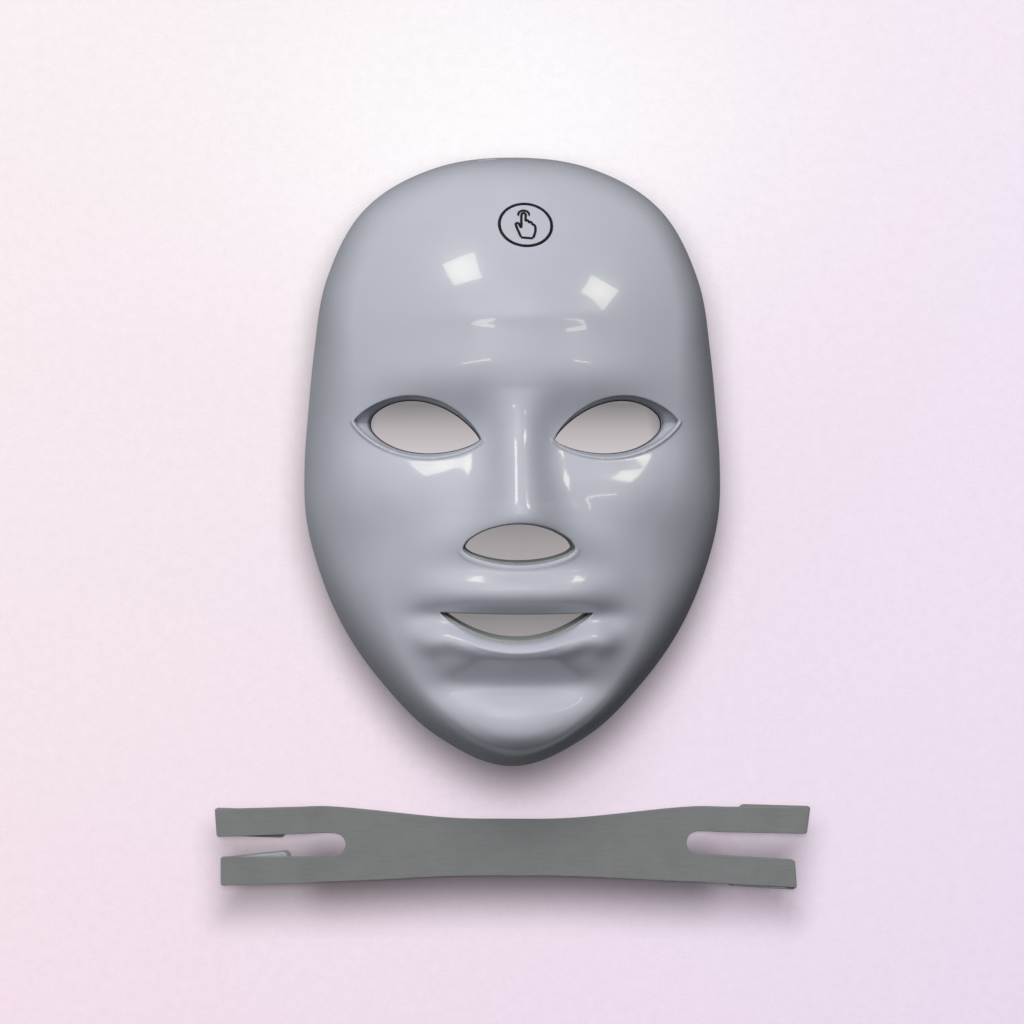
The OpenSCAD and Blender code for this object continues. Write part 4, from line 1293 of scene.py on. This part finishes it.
def make_floor():
    """Paper with soft contact shadows painted into its colour, worked out from the outlines that
    stand on it.
    """
    xs = np.concatenate([[-FLOOR_FAR], np.arange(-260, 261, FLOOR_STEP), [FLOOR_FAR]])
    ys = np.concatenate([[-FLOOR_FAR], MASK_AT[1] + np.arange(-300, 261, FLOOR_STEP), [FLOOR_FAR]])
    grid = np.stack(np.meshgrid(xs, ys), -1).reshape(-1, 2)
    n = len(xs)
    first = (np.arange(len(ys) - 1)[:, None] * n + np.arange(n - 1)).ravel()
    mesh = bpy.data.meshes.new("floor")
    mesh.from_pydata(np.column_stack([grid * MM, np.zeros(len(grid))]).tolist(), [],
                     np.stack([first, first + 1, first + n + 1, first + n], 1).tolist())
    mask = rim_loop() + MASK_AT[:2]
    band = np.concatenate(strap_outline()[1][::2]) + STRAP_AT[:2]
    # painted shadows of the mask and the strap: their outlines, moved away from the light and
    # blurred, darken the paper's colour, less at the strap's tails
    strength = 0.87 - 0.2 * ease(85, 105, np.abs(grid[:, 0]))
    light = 1 - 0.72 * shadow_beside(mask, grid, 9, 12, 15)
    light *= 1 - strength * shadow_beside(band, grid, 14, 17, 16)
    colours = np.column_stack([floor_colours(grid) * light[:, None], np.ones(len(grid))])
    layer = mesh.color_attributes.new("paper_tint_and_painted_shadow", "FLOAT_COLOR", "POINT")
    layer.data.foreach_set("color", colours.ravel())

    f = Finish("paper", Roughness=0.9, Specular_IOR_Level=0.1, Emission_Strength=1.0)
    paper_tint_and_painted_shadow = f.node("ShaderNodeAttribute", attribute_name="paper_tint_and_painted_shadow").outputs["Color"]
    fibre = f.spread(f.blend((f.noise(1.1, 2, 0.7), 0.6), (f.noise(5, 3, 0.6), 0.4)), 0.955, 1.045)
    # the paper's colour with its painted shadows, times the fibre grain
    grain = f.scaled(paper_tint_and_painted_shadow, fibre)
    f.link(f.scaled(grain, 1 - GLOW_PART), f.shader.inputs["Base Color"])
    f.bump(f.noise(1.3, 4), 0.10, 0.5)

    # painted light and shade on the paper under the mask, seen through the openings and given off by
    # the paper itself
    apart = f.node("ShaderNodeSeparateXYZ")
    f.link(f.coordinates, apart.inputs[0])
    glow = f.node("ShaderNodeValToRGB")
    low, high = UNDER_MASK[0][0], UNDER_MASK[-1][0]
    while len(glow.color_ramp.elements) < len(UNDER_MASK):
        glow.color_ramp.elements.new(0.5)
    for element, (y, level) in zip(glow.color_ramp.elements, UNDER_MASK):
        element.position = (y - low) / (high - low)
        element.color = (*(level * part for part in UNDER_TINT), 1)
    along = f.spread(apart.outputs["Y"], 0, 1, (low + MASK_AT[1]) * MM, (high + MASK_AT[1]) * MM)
    f.link(along, glow.inputs["Fac"])
    egg = f.node("ShaderNodeVectorMath", operation="LENGTH")
    place = f.node("ShaderNodeMapping", vector_type="POINT")
    middle = -(MASK_AT[1] - EGG_MIDDLE) * MM * EGG_SCALE[1]
    place.inputs["Location"].default_value = (0, middle, 0)
    place.inputs["Scale"].default_value = (*EGG_SCALE, 0)
    f.link(f.coordinates, place.inputs["Vector"])
    f.link(place.outputs["Vector"], egg.inputs[0])
    under_mask = f.node("ShaderNodeMix", data_type="RGBA")
    f.link(f.scaled(grain, GLOW_PART), under_mask.inputs[6])
    f.link(f.spread(egg.outputs["Value"], 1, 0, 0.68, 0.80), under_mask.inputs["Factor"])
    f.link(glow.outputs["Color"], under_mask.inputs[7])
    f.link(under_mask.outputs[2], f.shader.inputs["Emission Color"])
    mesh.materials.append(f.material)
    floor = placed("floor", mesh)
    floor.visible_diffuse = False
    floor.visible_glossy = False


def point_along(light, direction):
    light.rotation_mode = "QUATERNION"
    light.rotation_quaternion = Vector(direction).to_track_quat("-Z", "Y")


def area_light(name, at, aim, size, power, colour):
    data = bpy.data.lights.new(name, "AREA")
    data.shape = "RECTANGLE"
    data.size, data.size_y = size
    data.energy = power
    data.color = colour
    light = placed(name, data)
    light.location = at
    point_along(light, Vector(aim) - Vector(at))
    return light


def reflected(x, y, reach):
    """Point that the shell mirrors to the camera from its surface at x, y, in metres."""
    p = np.array([[x, y]], float)
    z, slope = shell_surface(p)
    n = normal_of(slope)[0]
    spot = (np.array([x, y, z[0]]) + MASK_AT) * MM
    to_eye = np.array(EYE_AT) - spot
    to_eye /= np.linalg.norm(to_eye)
    out = 2 * np.dot(n, to_eye) * n - to_eye
    return spot + out * reach, spot


def make_camera():
    """Looks straight down from a little to the left, with the lens shifted to centre the set."""
    data = bpy.data.cameras.new("camera")
    data.lens, data.sensor_width = LENS, SENSOR
    data.shift_x = -EYE_AT[0] / EYE_AT[2] * data.lens / data.sensor_width
    camera = placed("camera", data)
    camera.location = EYE_AT
    bpy.context.scene.camera = camera


def make_world():
    """Soft studio surround, brighter above and behind the crown, darker to the right and below."""
    world = bpy.data.worlds.new("studio")
    world.use_nodes = True
    tree = world.node_tree
    back = tree.nodes["Background"]
    back.inputs["Color"].default_value = (0.93, 0.95, 1.0, 1)
    place = tree.nodes.new("ShaderNodeTexCoord")
    dot = tree.nodes.new("ShaderNodeVectorMath")
    dot.operation = "DOT_PRODUCT"
    dot.inputs[1].default_value = (-0.12, 0.13, 0.10)      # how the light grows along x, y and z
    tree.links.new(place.outputs["Generated"], dot.inputs[0])
    add = tree.nodes.new("ShaderNodeMath")
    add.operation = "ADD"
    add.use_clamp = True
    add.inputs[1].default_value = 0.205                    # light at the horizon's middle
    tree.links.new(dot.outputs["Value"], add.inputs[0])
    tree.links.new(add.outputs[0], back.inputs["Strength"])
    bpy.context.scene.world = world


def make_lights():
    """A broad key from behind the crown, and the panels that the forehead mirrors."""
    bpy.context.scene.view_settings.view_transform = "Standard"
    sun = bpy.data.lights.new("key", "SUN")
    sun.energy, sun.angle, sun.color = 2.9, math.radians(38), (1, 0.99, 0.98)
    key = placed("key", sun)
    point_along(key, (0.08, -0.55, -0.83))
    key.visible_glossy = False
    for x, y, wide, tall, turn in CEILING_PANELS:
        at, aim = reflected(x, y, PANEL_REACH)
        power = PANEL_POWER * wide * tall
        light = area_light("ceiling_panel", at, aim, (wide, tall), power, PANEL_COLOUR)
        light.visible_diffuse = False
        spin = Quaternion((0, 0, 1), math.radians(turn))
        light.rotation_quaternion = light.rotation_quaternion @ spin


make_floor()
make_camera()
make_world()
make_lights()
